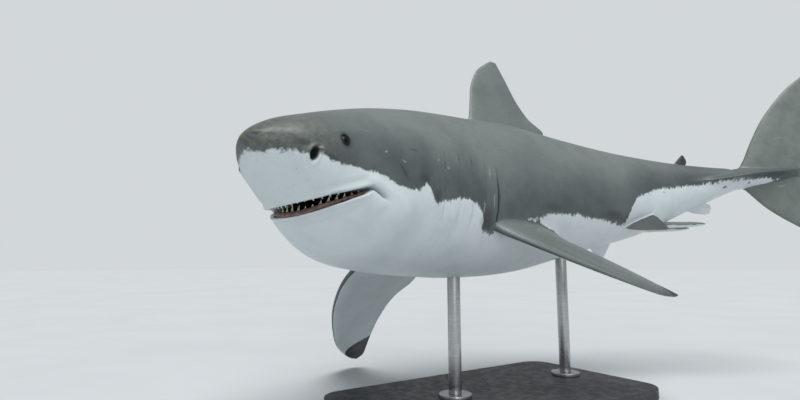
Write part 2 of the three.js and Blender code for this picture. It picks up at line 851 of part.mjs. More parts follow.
const BACK_GREY = 0x56646b;
const FIN_GREY = 0x4e5a61;
const BELLY_WHITE = 0xd9dedc;
const MOUTH_RED = 0x5a2320;
const TOOTH_IVORY = 0xc9b6aa;
const EYE_BLACK = 0x0b0b0d;
const BOARD_BLACK = 0x2f3133;
const STEEL_GREY = 0x8a8d90;
add("head", head, BACK_GREY, 0.5, 0);
add("lower_jaw", lowerJaw, BELLY_WHITE, 0.5, 0);
add("mouth_lining", mouthLining, MOUTH_RED, 0.5, 0);
add("upper_gum_and_teeth", largest(upperGum), TOOTH_IVORY, 0.4, 0);
add("lower_gum_and_teeth", largest(lowerGum), TOOTH_IVORY, 0.4, 0);
add("gill_region", gills, BACK_GREY, 0.5, 0);
add("trunk_front", trunkFront, BACK_GREY, 0.5, 0);
add("trunk_rear", trunkRear, BACK_GREY, 0.5, 0);
add("tail_stem", tailStem, BACK_GREY, 0.5, 0);
add("caudal_fin", caudalFin, FIN_GREY, 0.5, 0);
add("first_dorsal_fin", dorsalFin, FIN_GREY, 0.5, 0);
add("second_dorsal_fin", secondDorsalFin, FIN_GREY, 0.5, 0);
add("anal_fin", analFin, BELLY_WHITE, 0.5, 0);
add("pectoral_fin_left", pectoralLeft, FIN_GREY, 0.5, 0);
add("pectoral_fin_right", pectoralRight, FIN_GREY, 0.5, 0);
add("pelvic_fin_left", pelvicLeft, FIN_GREY, 0.5, 0);
add("pelvic_fin_right", pelvicRight, FIN_GREY, 0.5, 0);
add("clasper_left", claspers[0], BELLY_WHITE, 0.5, 0);
add("clasper_right", claspers[1], BELLY_WHITE, 0.5, 0);
add("eye_left", knob(EYE, 1, 0), EYE_BLACK, 0.15, 0);
add("eye_right", knob(EYE, -1, 0), EYE_BLACK, 0.15, 0);
add("stand_base", base, BOARD_BLACK, 0.5, 0);
for (const [i, place] of ["front", "rear"].entries()) {
  add(`stand_collar_${place}`, standCollar(ROD_STATIONS[i]), STEEL_GREY, 0.35, 0.9);
  add(`stand_rod_${place}`, standRod(ROD_STATIONS[i]), STEEL_GREY, 0.35, 0.9);
}

export default group;
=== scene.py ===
"""Looks of a life-size great white shark on its display stand.

One skin covers the whole animal, with its eyes, gums and teeth as separate pieces, and the stand
keeps its solid shapes with finishes of its own. Places on the body are (s, l, z) in per cent of
the total length: s from the snout along the spine, l to the animal's left, z up. Points are in
metres, +Z up, with the head towards -Y and the animal's left towards +X.
"""

import math

import bmesh
import bpy
import numpy as np
from bpy.props import FloatProperty, FloatVectorProperty, IntProperty, PointerProperty
from mathutils import Matrix, Vector
from mathutils.kdtree import KDTree


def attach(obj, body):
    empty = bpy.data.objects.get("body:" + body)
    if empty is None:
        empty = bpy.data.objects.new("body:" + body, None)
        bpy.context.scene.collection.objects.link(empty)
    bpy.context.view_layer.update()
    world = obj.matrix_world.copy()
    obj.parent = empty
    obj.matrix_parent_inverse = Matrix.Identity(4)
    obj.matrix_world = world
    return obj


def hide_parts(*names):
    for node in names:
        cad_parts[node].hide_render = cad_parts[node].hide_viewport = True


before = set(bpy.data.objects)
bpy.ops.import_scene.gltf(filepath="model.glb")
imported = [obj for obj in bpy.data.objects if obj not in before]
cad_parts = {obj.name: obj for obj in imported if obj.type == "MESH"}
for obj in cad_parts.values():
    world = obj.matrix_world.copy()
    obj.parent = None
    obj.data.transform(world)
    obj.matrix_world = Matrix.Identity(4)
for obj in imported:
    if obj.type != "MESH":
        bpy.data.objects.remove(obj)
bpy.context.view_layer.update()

bl_info = {
    "name": "Great white shark",
    "version": (1, 0, 0),
    "blender": (4, 5, 0),
    "location": "View3D > Sidebar > Great white",
    "description": "Builds the skin, eyes, gums, teeth and stand finishes of a great white shark",
    "category": "Object",
}

TOTAL_LENGTH = 4.3
PER_CENT = TOTAL_LENGTH / 100

# How the spine runs: the head turned a little to the right, the body and tail swung to the left.
HEAD_TURN = math.radians(-5.5)
HEAD_TURN_END = 25
BODY_TURN = math.radians(60)
BODY_TURN_START = 4
BODY_TURN_END = 85
TAIL_RISE = math.radians(2.6)
TAIL_RISE_START = 55
TAIL_RISE_END = 90
BANK = math.radians(-8)
PITCH = math.radians(-1.2)
ANCHOR = 38
ANCHOR_AT = np.array((-0.07, 0.1, 1.08))
SPINE_STEP = 0.25
SPINE_COUNT = 440
# The search for a point's place along the spine.
SEARCH_END = 105
SEARCH_STEP = 2.5
SEARCH_ROUNDS = 30
SEARCH_PACE = 0.8

# Body stations: (s, back height, belly depth, half width, height of the widest line).
STATIONS = np.array(
    (
        (0, 0, 0, 0, 0),
        (0.6, 0.85, 1.2, 1.35, 0),
        (2.5, 2.05, 2.75, 3.15, -0.2),
        (6, 3.5, 5.45, 4.65, -0.4),
        (10, 5.0, 8.2, 6.1, -0.6),
        (16, 6.9, 9.3, 7.25, -0.6),
        (23, 8.4, 9.8, 8.2, -0.6),
        (31, 9.3, 10.2, 8.65, -0.6),
        (41, 9.8, 9.95, 8.25, -0.4),
        (52, 8.2, 8.2, 6.85, -0.2),
        (64, 5.6, 6.2, 4.5, 0),
        (74, 3.25, 3.2, 2.75, 0.1),
        (81, 1.8, 1.5, 2.0, 0.1),
        (86, 1.25, 1.25, 1.1, 0.1),
        (92, 0.8, 0.8, 0.45, 0.1),
    )
)
BACK_POWER = 2.0
BELLY_POWER = 2.25
KEEL_STATION = 83
KEEL_LENGTH = 6
KEEL_WIDTH = 1.7
KEEL_THICKNESS = 0.4
# Keels and bulges fade out towards the top and bottom of the body at this rate.
RIDGE_FADE = 4
JAW_BULGE = {"s": 12.2, "z": -5.4, "out": 0.45, "length": 2.4, "height": 2.2}
TEMPLE_HOLLOW = {"s": 8.2, "z": 0.2, "out": -0.22, "length": 1.8, "height": 1.5}

# The edges of the jaws as (s, z), ruled straight across the head.
UPPER_LIP = ((3.2, -4.32), (4.45, -4.32), (5.2, -4.15), (5.7, -3.92), (6.7, -3.75), (7.7, -3.48),
             (8.2, -3.36), (8.6, -3.28))
LOWER_LIP = ((3.2, -6.2), (5.0, -5.35), (5.65, -5.0), (6.2, -4.7), (6.7, -4.5), (7.2, -4.26),
             (7.7, -4.08), (8.2, -3.86), (8.6, -3.55))
MOUTH_START = 3.2
MOUTH_CORNER = 8.6
GAP_REACH = 9
GAP_STEPS = 40
MOUTH_DOME = {"at": (8.3, 0, -4.55), "radii": (2.35, 4.0, 1.35)}
DOME_MESH = {"u_segments": 40, "v_segments": 24, "radius": 1}
BALL_MESH = {"u_segments": 48, "v_segments": 32, "radius": 1}

EYE = {"s": 6.1, "z": 0.2, "along": 0.4, "up": 0.48, "slant": 0}
EYEBALL = {"along": 0.47, "up": 0.565, "out": 0.42, "sink": 0.35}
NOSTRIL = {"s": 3.3, "z": -1.28, "along": 0.39, "up": 0.6, "slant": -0.42}
# Gill slits: station of the lower end, height of both ends, slant, and darkness, which widens each slit and
# deepens the painted shade in it.
GILL_SLITS = (
    {"s": 18.4, "top": 1.2, "bottom": -5.0, "slant": 0.85, "dark": 0.3},
    {"s": 20.9, "top": 1.3, "bottom": -5.5, "slant": 0.75, "dark": 0.35},
    {"s": 23.3, "top": 1.1, "bottom": -5.8, "slant": 0.65, "dark": 0.5},
    {"s": 25.7, "top": 0.8, "bottom": -6.0, "slant": 0.55, "dark": 0.75},
    {"s": 28.1, "top": 0.4, "bottom": -5.8, "slant": 0.4, "dark": 1.0},
)

# Fins on the middle line: front and rear edges as (s, z) from the root to the tip.
FIRST_DORSAL = {
    "front": ((35.0, 8.0), (37.1, 10.8), (38.2, 13.6), (39.3, 16.5), (41.2, 19.2), (44.1, 21.2)),
    "rear": ((47.4, 8.2), (50.7, 9.6), (48.6, 12.0), (47.2, 14.8), (46.2, 18.2), (45.3, 21.1)),
    "thick": (1.5, 0.25),
    "lean": 0.12,
    "foot": 9.5,
}
SECOND_DORSAL = {
    "front": ((71.1, 2.8), (72.3, 4.0), (73.7, 5.1)),
    "rear": ((73.3, 2.6), (74.2, 3.9), (74.0, 5.0)),
    "thick": (0.45, 0.15),
    "lean": 0,
    "foot": 0,
}
ANAL = {
    "front": ((70.9, -2.6), (72.9, -4.0), (75.0, -4.55)),
    "rear": ((73.9, -2.2), (76.0, -3.2), (75.7, -4.4)),
    "thick": (0.45, 0.15),
    "lean": 0,
    "foot": 0,
}
UPPER_LOBE = {
    "front": ((81.2, 0.9), (83.1, 2.9), (85.1, 5.6), (88.2, 9.2), (92.8, 13.0), (96.5, 15.1),
              (100, 17.0)),
    "rear": ((92.2, 0.0), (92.5, 2.6), (93.2, 5.4), (94.5, 8.8), (96.2, 12.2), (98.2, 14.8),
             (100.3, 16.6)),
    "thick": (1.5, 0.2),
    "lean": 0,
    "foot": 0,
}
LOWER_LOBE = {
    "front": ((81.2, -0.6), (82.6, -2.5), (84.2, -4.7), (86.3, -6.8), (89.2, -9.2), (92.6, -12.0)),
    "rear": ((92.2, 0.9), (91.8, -1.6), (91.5, -4.0), (91.5, -6.6), (92.0, -9.4), (93.1, -11.9)),
    "thick": (1.4, 0.2),
    "lean": 0,
    "foot": 0,
}

# Paired fins: front and rear edges as (chordwise, spanwise), held at a root on the body.
PECTORAL_FRONT = ((0.5, -3.4), (0, 0), (0.3, 2.8), (1.3, 6), (3.5, 10), (6.2, 13.4), (9.2, 16.3),
                  (12.1, 17.9), (13.9, 18.5))
PECTORAL_REAR = ((7.5, -3.4), (10.0, 0), (11.2, 2.8), (11.1, 6), (12.3, 10), (13.7, 13.4),
                 (14.9, 16.0), (15.4, 17.4), (14.8, 18.3))
PECTORAL_LEFT = {
    "front": PECTORAL_FRONT,
    "rear": PECTORAL_REAR,
    "thick": (2.3, 0.22),
    "root": (28.0, 7.7, -6.0),
    "chord": (0.94, -0.25, 0.23),
    "span": (0.34, 0.77, -0.54),
    "size": 1.08,
    "droop": 2.2,
    "camber": 0.55,
    "reach": 18.7,
}
PECTORAL_RIGHT = {
    **PECTORAL_LEFT,
    "root": (25.2, -9.0, -6.5),
    "chord": (0.985, -0.03, -0.155),
    "span": (-0.06, -0.94, -0.33),
    "size": 1.085,
    "droop": 4.3,
    "camber": 0.3,
}
PELVIC_LEFT = {
    "front": ((0, -1.4), (0, 0), (1.3, 2.6), (3.3, 4.9)),
    "rear": ((4.3, -1.4), (5.7, 0.1), (4.9, 2.5), (3.7, 4.8)),
    "thick": (0.8, 0.2),
    "root": (58.3, 3.4, -5.5),
    "chord": (0.95, 0.02, 0.3),
    "span": (-0.05, 0.8, -0.5),
    "size": 1,
    "droop": 0,
    "camber": 0,
    "reach": 4.9,
}
PELVIC_RIGHT = {
    **PELVIC_LEFT,
    "root": (57.3, -3.3, -5.6),
    "chord": (0.97, 0, 0.16),
    "span": (-0.05, -0.52, -0.83),
}
CAMBER_START = 1 / 3
# The fins' parts and shapes, with the sides round the rim and the steps along each.
MIDDLE_FINS = (
    ("first_dorsal", FIRST_DORSAL, 56, 44),
    ("second_dorsal", SECOND_DORSAL, 28, 14),
    ("anal", ANAL, 28, 14),
    ("caudal", UPPER_LOBE, 56, 60),
    ("caudal", LOWER_LOBE, 56, 44),
)
PAIRED_FINS = (
    ("pectoral_left", PECTORAL_LEFT, 64, 70),
    ("pectoral_right", PECTORAL_RIGHT, 64, 70),
    ("pelvic_left", PELVIC_LEFT, 32, 22),
    ("pelvic_right", PELVIC_RIGHT, 32, 22),
)
# The left clasper, from its root to its tip as (s, l, z).
CLASPER_ROOT = (61.5, 1.5, -5.0)
CLASPER_TIP = (73.3, 2.0, -6.1)
CLASPER_SIDES = 20
CLASPER_STEPS = 24
CLASPER_RADIUS = 0.62
CLASPER_TAPER = 0.45
CLASPER_FULLNESS = 1.18
CLASPER_END_POWER = 6
# The highest value of sqrt(x) * (1 - x), which gives a fin's thickness from front to rear.
BLADE_PEAK = 0.385
FIN_TAPER_POWER = 0.7
THINNEST_SHARE = 0.02


def smooth(t):
    """0 up to t = 0, rising smoothly to 1 at t = 1."""
    k = np.clip(t, 0, 1)
    return k * k * (3 - 2 * k)


def heading(s):
    """How far the spine has turned from straight ahead at s."""
    swing = BODY_TURN * smooth((s - BODY_TURN_START) / (BODY_TURN_END - BODY_TURN_START))
    return swing + HEAD_TURN * (1 - smooth(s / HEAD_TURN_END))


def spine_axes(s):
    """Unit vectors at s towards the tail, to the animal's left and up, before it is placed."""
    a = heading(s)
    b = TAIL_RISE * smooth((s - TAIL_RISE_START) / (TAIL_RISE_END - TAIL_RISE_START))
    tail = np.stack((np.sin(a) * np.cos(b), np.cos(a) * np.cos(b), np.sin(b)), -1)
    left = np.stack((np.cos(a), -np.sin(a), np.zeros_like(a)), -1)
    return tail, left, np.cross(left, tail)


SPINE_KEYS = np.arange(SPINE_COUNT + 1) * SPINE_STEP
SPINE_STEPS = spine_axes((np.arange(SPINE_COUNT) + 0.5) * SPINE_STEP)[0] * SPINE_STEP
SPINE = np.vstack((np.zeros(3), np.cumsum(SPINE_STEPS, 0)))
TURN = np.array(Matrix.Rotation(PITCH, 3, "X") @ Matrix.Rotation(BANK, 3, "Y"))


def spine_point(s):
    """The point of the spine at s, in per cent, before it is placed."""
    return np.stack([np.interp(s, SPINE_KEYS, SPINE[:, axis]) for axis in range(3)], -1)


def to_world(point):
    """Places a point, in per cent, in the room, in metres."""
    return ANCHOR_AT + PER_CENT * (point - spine_point(ANCHOR)) @ TURN.T


def column(values):
    return np.asarray(values, float)[..., None]


def body_point(s, l, z):
    """The point in the room at (s, l, z)."""
    s, l, z = np.broadcast_arrays(*(np.asarray(v, float) for v in (s, l, z)))
    _, left, up = spine_axes(s)
    return to_world(spine_point(s) + left * column(l) + up * column(z))


def body_place(points):
    """The (s, l, z) of points in the room: the opposite of body_point."""
    local = (points - ANCHOR_AT) @ TURN / PER_CENT + spine_point(ANCHOR)
    guesses = np.arange(0, SEARCH_END, SEARCH_STEP)
    gaps = local[:, None, :] - spine_point(guesses)[None]
    s = guesses[np.argmin((gaps**2).sum(-1), 1)]
    for _ in range(SEARCH_ROUNDS):
        tail, left, up = spine_axes(s)
        gap = local - spine_point(s)
        s = np.clip(s + SEARCH_PACE * (gap * tail).sum(-1), 0, SEARCH_END)
    return s, (gap * left).sum(-1), (gap * up).sum(-1)


def profile(row):
    """A smooth curve through the stations, over the square root of s so that the snout is round."""
    x = np.sqrt(STATIONS[:, 0])
    y = STATIONS[:, row]
    h = np.diff(x)
    d = np.diff(y) / h
    m = np.zeros_like(y)
    m[1:-1] = (d[:-1] * h[1:] + d[1:] * h[:-1]) / (h[1:] + h[:-1])
    m[0] = 1.5 * d[0] - 0.5 * m[1]
    m[-1] = 1.5 * d[-1] - 0.5 * m[-2]

    def value(s):
        u = np.sqrt(np.clip(s, 0, STATIONS[-1, 0]))
        i = np.clip(np.searchsorted(x, u, side="left") - 1, 0, len(h) - 1)
        t = (u - x[i]) / h[i]
        r = 1 - t
        near = y[i] * (1 + 2 * t) * r * r + m[i] * h[i] * t * r * r
        return near + y[i + 1] * t * t * (3 - 2 * t) + m[i + 1] * h[i] * t * t * (t - 1)

    return value


back_height = profile(1)
belly_depth = profile(2)
half_width = profile(3)
widest_line = profile(4)


def bump(shape, s, z):
    """A rounded swelling of the skin, or a hollow where it goes inward."""
    a = (s - shape["s"]) / shape["length"]
    b = (z - shape["z"]) / shape["height"]
    return shape["out"] * np.exp(-a * a - b * b)


def skin_section(s, angle):
    """The (l, z) of the skin at s, at an angle round the spine."""
    c, q = np.cos(angle), np.sin(angle)
    middle = widest_line(s)
    power = 2 / np.where(q >= 0, BACK_POWER, BELLY_POWER)
    tall = np.where(q >= 0, back_height(s) - middle, belly_depth(s) + middle)
    z = middle + tall * np.sign(q) * np.abs(q) ** power
    keel = ((s - KEEL_STATION) / KEEL_LENGTH) ** 2 + ((z - middle) / KEEL_THICKNESS) ** 2
    extra = KEEL_WIDTH * np.exp(-keel) + bump(JAW_BULGE, s, z) + bump(TEMPLE_HOLLOW, s, z)
    side = half_width(s) * np.abs(c) ** power + extra * np.minimum(1, np.abs(c) * RIDGE_FADE)
    return np.sign(c) * side, z


def side_at(s, z):
    """Distance of the skin from the middle plane at a height z."""
    middle = widest_line(s)
    above = z >= middle
    tall = np.where(above, back_height(s) - middle, belly_depth(s) + middle)
    power = np.where(above, BACK_POWER, BELLY_POWER)
    share = np.minimum(1, np.abs(z - middle) / tall)
    angle = np.arcsin(share ** (power / 2))
    return skin_section(s, np.where(above, angle, -angle))[0]


def curve_point(points, t):
    """Points at shares t of the way along a smooth curve through a short list of points."""
    p = np.array(points, float)
    last = len(p) - 1
    at = np.clip(t, 0, 1) * last
    i = np.minimum(at.astype(int), last - 1)
    w = column(at - i)
    before, a, b, after = p[np.maximum(i - 1, 0)], p[i], p[i + 1], p[np.minimum(i + 2, last)]
    leave, arrive = (b - before) / 2, (after - a) / 2
    cubic = (2 * a - 2 * b + leave + arrive) * w**3
    return cubic + (3 * b - 3 * a - 2 * leave - arrive) * w**2 + leave * w + a


def lip_height(lip, s):
    """The height of a lip's edge at s."""
    return np.interp(s, [p[0] for p in lip], [p[1] for p in lip])


# Meshes. LEVEL is the most by which the ends of a level edge differ in height.

MERGE_DISTANCE = 1e-6
LEVEL = 1e-4


def unit_tube(sides, steps):
    """A closed tube of radius 1 from 0 to 1 along Z, cut into equal steps."""
    bm = bmesh.new()
    bmesh.ops.create_cone(bm, cap_ends=True, segments=sides, radius1=1, radius2=1, depth=1)
    bmesh.ops.translate(bm, verts=bm.verts, vec=(0, 0, 0.5))
    long_edges = [e for e in bm.edges if abs(e.verts[0].co.z - e.verts[1].co.z) > 0.5]
    bmesh.ops.subdivide_edges(bm, edges=long_edges, cuts=steps - 1, use_grid_fill=True)
    return bm


def coordinates(bm):
    return np.array([v.co for v in bm.verts]).reshape(-1, 3)


def vertex_normals(bm):
    bm.normal_update()
    return np.array([v.normal for v in bm.verts])


def tube_coordinates(bm):
    """The share along a unit tube and the angle round it of every vertex."""
    co = coordinates(bm)
    return co[:, 2], np.arctan2(co[:, 1], co[:, 0])


def place_vertices(bm, points):
    for vertex, point in zip(bm.verts, points):
        vertex.co = point


def new_object(name, bm):
    """An object at the origin, unturned and unscaled, that holds the mesh."""
    mesh = bpy.data.meshes.new(name)
    bm.to_mesh(mesh)
    bm.free()
    piece = bpy.data.objects.new(name, mesh)
    bpy.context.scene.collection.objects.link(piece)
    return piece


def close_and_face_out(bm):
    bmesh.ops.remove_doubles(bm, verts=bm.verts, dist=MERGE_DISTANCE)
    bmesh.ops.recalc_face_normals(bm, faces=bm.faces)


def shade_smooth(bm):
    for face in bm.faces:
        face.smooth = True


def smooth_shape(bm, points):
    """A closed mesh with its vertices placed, facing out and shaded smooth."""
    place_vertices(bm, points)
    close_and_face_out(bm)
    shade_smooth(bm)
    return bm


def finished_tool(bm, points, part, name):
    """Places a closed shape's vertices and makes it an object that can be joined to the skin."""
    place_vertices(bm, points)
    close_and_face_out(bm)
    mark(bm, part)
    return new_object(name, bm)


def mark(bm, part):
    """Writes which part of the animal the faces belong to."""
    layer = bm.faces.layers.int.new("part")
    for face in bm.faces:
        face[layer] = PARTS.index(part)


PARTS = ("body", "mouth", "first_dorsal", "second_dorsal", "anal", "caudal", "pectoral_left",
         "pectoral_right", "pelvic_left", "pelvic_right", "clasper_left", "clasper_right")

# Runs of rings along the body: (from, to, steps).
RING_RUNS = ((0, 3, 22), (3, 10, 36), (10, 16, 24), (16, 30, 44), (30, 60, 46), (60, 91, 56))
BODY_SIDES = 128


def ring_stations():
    """Stations of the rings along the body, closer together towards the snout."""
    rings = [np.zeros(1)]
    for start, end, steps in RING_RUNS:
        rings.append(np.linspace(math.sqrt(start), math.sqrt(end), steps + 1)[1:] ** 2)
    return np.concatenate(rings)


RINGS = ring_stations()


def body_coordinates(bm):
    """The s, angle, l and z of every vertex of the body's tube before it takes the body's shape."""
    share, angle = tube_coordinates(bm)
    s = np.interp(share * (len(RINGS) - 1), np.arange(len(RINGS)), RINGS)
    l, z = skin_section(s, angle)
    return s, angle, l, z


def refine(bm, inside, lengthwise=False):
    """Halves the edges of the body's tube that lie inside a region of (s, l, z)."""
    s, _, l, z = body_coordinates(bm)
    kept = inside(s, l, z)
    bm.verts.index_update()
    edges = []
    for edge in bm.edges:
        a, b = edge.verts
        if not (kept[a.index] and kept[b.index]):
            continue
        if lengthwise and abs(a.co.z - b.co.z) < LEVEL:
            continue
        edges.append(edge)
    bmesh.ops.subdivide_edges(bm, edges=edges, cuts=1, use_grid_fill=True)


# Finer mesh along the lips, from and to s, and on both sides of lips and gill slits.
LIP_REGION = (3.9, 9.3)
LIP_BAND = 0.4
SLIT_BAND = 0.5
SLIT_BAND_SHARE = 0.56
# Regions with a finer mesh: from and to s, from and to z, and the least distance from the middle.
FINE_REGIONS = {
    "head": (2.3, 10.9, -9, 1.5, 0),
    "eyes": (5.2, 6.9, -0.7, 1.2, 0),
    "nostrils": (2.7, 3.9, -2.1, -0.4, 0),
    "pectoral_fins": (24, 37, -9.5, -2.5, 4),
    "first_dorsal_fin": (35, 52, 7.2, 12, 0),
    "pelvic_fins": (56, 67, -7.2, -2.5, 0),
    "tail_stem": (70, 77, -4, 4, 0),
}


def near_lips(s, l, z):
    """Where the mouth's edges run."""
    beside = (s > LIP_REGION[0]) & (s < LIP_REGION[1])
    upper = np.abs(z - lip_height(UPPER_LIP, s)) < LIP_BAND
    lower = np.abs(z - lip_height(LOWER_LIP, s)) < LIP_BAND
    return beside & (upper | lower)


def slit_distance(s, z, slit):
    """Distance behind the curved line of one gill slit, and the height's share along it."""
    share = (z - slit["bottom"]) / (slit["top"] - slit["bottom"]) - 0.5
    bow = slit["slant"] * (share + 0.5 - 0.5 * (1 - 4 * share**2))
    return s - slit["s"] - bow, share


def slit_opening(share, width):
    """Width of a slit along its height: widest in the middle, closed at both ends."""
    return width * np.sqrt(np.clip(1 - (share / 0.5) ** 2, 0, 1))


def near_slits(s, l, z):
    """Where the gill slits run."""
    near = np.zeros(s.shape, bool)
    for slit in GILL_SLITS:
        behind, share = slit_distance(s, z, slit)
        near |= (np.abs(behind) < SLIT_BAND) & (np.abs(share) < SLIT_BAND_SHARE)
    return near


def region(name):
    """A test for places inside one of the finer regions."""
    s_low, s_high, z_low, z_high, l_low = FINE_REGIONS[name]

    def inside(s, l, z):
        return (s > s_low) & (s < s_high) & (z > z_low) & (z < z_high) & (np.abs(l) > l_low)

    return inside


def body_tube():
    """The tube that becomes the body, finer where its shape has more detail."""
    bm = unit_tube(BODY_SIDES, len(RINGS) - 1)
    refine(bm, region("head"))
    refine(bm, near_lips)
    refine(bm, region("eyes"))
    refine(bm, region("nostrils"))
    for _ in range(2):
        refine(bm, near_slits, lengthwise=True)
    for name in ("pectoral_fins", "first_dorsal_fin", "pelvic_fins", "tail_stem"):
        refine(bm, region(name))
    return bm


# The step over which the skin's directions are measured.
SKIN_STEP = 0.2


def skin_axes(shape, side):
    """A point on the skin, and axes there towards the tail, up along the skin and outward."""
    s, z = shape["s"], shape["z"]
    here = body_point(s, side * side_at(s, z), z)
    tail = body_point(s + SKIN_STEP, side * side_at(s + SKIN_STEP, z), z) - here
    tail /= np.linalg.norm(tail)
    up = body_point(s, side * side_at(s, z + SKIN_STEP), z + SKIN_STEP) - here
    up -= tail * (up @ tail)
    up /= np.linalg.norm(up)
    return here, tail, up, np.cross(tail, up) * side


def skin_offsets(shape, side, points):
    """Distances of points from a place on the skin, along its slanted axes, in per cent."""
    here, tail, up, out = skin_axes(shape, side)
    gap = (points - here) / PER_CENT
    a, b = gap @ tail, gap @ up
    c, q = math.cos(shape["slant"]), math.sin(shape["slant"])
    return a * c + b * q, b * c - a * q, gap @ out


def ridge(distance, width):
    """1 on a line, falling away to both sides of it."""
    return np.exp(-((distance / width) ** 2))


# Reliefs of the skin: heights and widths in per cent; "floor" is the share of a hollow's half
# width where its floor ends, "slope" the share over which its wall rises.
NEAR_SKIN = 2
SOCKET = {"depth": 0.75, "floor": 0.74, "slope": 0.22}
BROW = {"rise": 0.05, "above": 0.8, "tall": 0.3, "long": 0.8}
NOSTRIL_PIT = {"depth": 0.6, "floor": 0.5, "slope": 0.5, "bend": 0.12}
NOSTRIL_FLAP = {"rise": 0.12, "ahead": 0.36, "long": 0.17, "tall": 0.45}
NOSTRIL_RIM = {"rise": 0.05, "reach": 1.3, "wide": 0.3}
GILL_ENDS = {"start": 0.36, "fade": 0.18}
GILL_FLAP = {"rise": 0.13, "long": 0.7}
GILL_CUT = {"depth": 0.45, "front": 0.06, "back": 0.14, "narrowest": 0.04, "wider": 0.1}
GILL_STEP = {"depth": 0.08, "start": 0.2, "long": 0.8}
LIP_ENDS = {"front": 4.2, "rear": 8.3, "fade": 0.6}
LIP_EDGE = {"start": -0.3, "crest": 0.1}
UPPER_LIP_EDGE = {"rise": 0.07, "wide": 0.22}
LOWER_LIP_EDGE = {"rise": 0.09, "wide": 0.25}
TAIL_PITS = {"s": 80.4, "wide": 0.45, "fade": 0.6}
UPPER_PIT = {"depth": 0.28, "from": 0.9}
LOWER_PIT = {"depth": 0.22, "from": 0.7}


def hollow_height(shape, reach):
    """Depth of a hollow with a flat floor; reach is the share of the way to its rim."""
    return -shape["depth"] * (1 - smooth((reach - shape["floor"]) / shape["slope"]))


def eye_relief(points):
    """The socket behind each eye and a low brow over it."""
    height = np.zeros(len(points))
    for side in (1, -1):
        a, b, c = skin_offsets(EYE, side, points)
        reach = np.hypot(a / EYE["along"], b / EYE["up"])
        brow = BROW["rise"] * ridge(b - BROW["above"], BROW["tall"]) * ridge(a, BROW["long"])
        height += np.where(np.abs(c) < NEAR_SKIN, hollow_height(SOCKET, reach) + brow, 0)
    return height


def nostril_relief(points):
    """A slanted slit with a flap over its front part."""
    height = np.zeros(len(points))
    for side in (1, -1):
        a, b, c = skin_offsets(NOSTRIL, side, points)
        across = a - NOSTRIL_PIT["bend"] * (b / NOSTRIL["up"]) ** 2
        reach = np.hypot(across / NOSTRIL["along"], b / NOSTRIL["up"])
        flap = NOSTRIL_FLAP["rise"] * ridge(across + NOSTRIL_FLAP["ahead"], NOSTRIL_FLAP["long"])
        flap *= ridge(b, NOSTRIL_FLAP["tall"])
        rim = NOSTRIL_RIM["rise"] * ridge(reach - NOSTRIL_RIM["reach"], NOSTRIL_RIM["wide"])
        relief = hollow_height(NOSTRIL_PIT, reach) + flap + rim
        height += np.where(np.abs(c) < NEAR_SKIN, relief, 0)
    return height


def gill_relief(s, z):
    """Five overlapping flaps on each side, each with a slit behind its edge."""
    height = np.zeros(len(s))
    for slit in GILL_SLITS:
        behind, share = slit_distance(s, z, slit)
        ends = 1 - smooth((np.abs(share) - GILL_ENDS["start"]) / GILL_ENDS["fade"])
        opening = slit_opening(share, GILL_CUT["narrowest"] + GILL_CUT["wider"] * slit["dark"])
        ahead = np.minimum(behind, 0)
        flap = np.where(behind < 0, GILL_FLAP["rise"] * np.exp(ahead / GILL_FLAP["long"]), 0)
        cut = -GILL_CUT["depth"] * smooth(behind / GILL_CUT["front"] + 0.5)
        cut *= 1 - smooth((behind - opening) / GILL_CUT["back"])
        past = np.maximum(behind - GILL_STEP["start"], 0)
        after = -GILL_STEP["depth"] * np.exp(-past / GILL_STEP["long"])
        height += ends * (flap + cut + np.where(behind > GILL_STEP["start"], after, 0))
    return height


# Skin folds as (s, z) lines with a width and a height; below zero is a groove.
FOLDS = (
    (((8.5, -3.42), (9.0, -3.6), (9.6, -3.95), (10.4, -4.35)), 0.15, -0.3),
    (((8.3, -2.8), (9.2, -3.0), (10.2, -3.55), (10.9, -4.3)), 0.32, 0.1),
    (((8.6, -4.3), (9.3, -4.7), (9.9, -5.4)), 0.6, 0.14),
    (((5.2, -3.55), (6.4, -3.2), (7.6, -2.85), (8.5, -2.6)), 0.22, -0.06),
    (((6.4, -5.9), (7.2, -5.4), (8.0, -4.9), (8.7, -4.4)), 0.25, -0.05),
)
FOLD_STEPS = 24
FOLD_FADE = 0.4


def fold_mask(line, width, s, z):
    """1 along a line on the skin, fading towards its far end."""
    path = curve_point(line, np.linspace(0, 1, FOLD_STEPS))
    gaps = np.hypot(s[:, None] - path[:, 0], z[:, None] - path[:, 1])
    left = 1 - np.argmin(gaps, 1) / (FOLD_STEPS - 1)
    return ridge(gaps.min(1), width) * smooth(left / FOLD_FADE)


def fold_relief(s, z):
    """The creases and swellings round the mouth."""
    return sum(rise * fold_mask(line, width, s, z) for line, width, rise in FOLDS)


def lip_relief(s, z):
    """Full lips: each edge of the mouth stands a little proud of the skin."""
    fade = LIP_ENDS["fade"]
    along = smooth((s - LIP_ENDS["front"]) / fade) * (1 - smooth((s - LIP_ENDS["rear"]) / fade))
    height = np.zeros(len(s))
    edges = (
        (UPPER_LIP_EDGE, z - lip_height(UPPER_LIP, s)),
        (LOWER_LIP_EDGE, lip_height(LOWER_LIP, s) - z),
    )
    for edge, away in edges:
        swell = edge["rise"] * ridge(away - LIP_EDGE["crest"], edge["wide"])
        height += np.where(away > LIP_EDGE["start"], swell, 0)
    return along * height


def tail_pit_relief(s, z):
    """The notches above and below the tail stem, just before the tail fin."""
    top = UPPER_PIT["depth"] * smooth((z - UPPER_PIT["from"]) / TAIL_PITS["fade"])
    under = LOWER_PIT["depth"] * smooth((-z - LOWER_PIT["from"]) / TAIL_PITS["fade"])
    return -ridge(s - TAIL_PITS["s"], TAIL_PITS["wide"]) * (top + under)


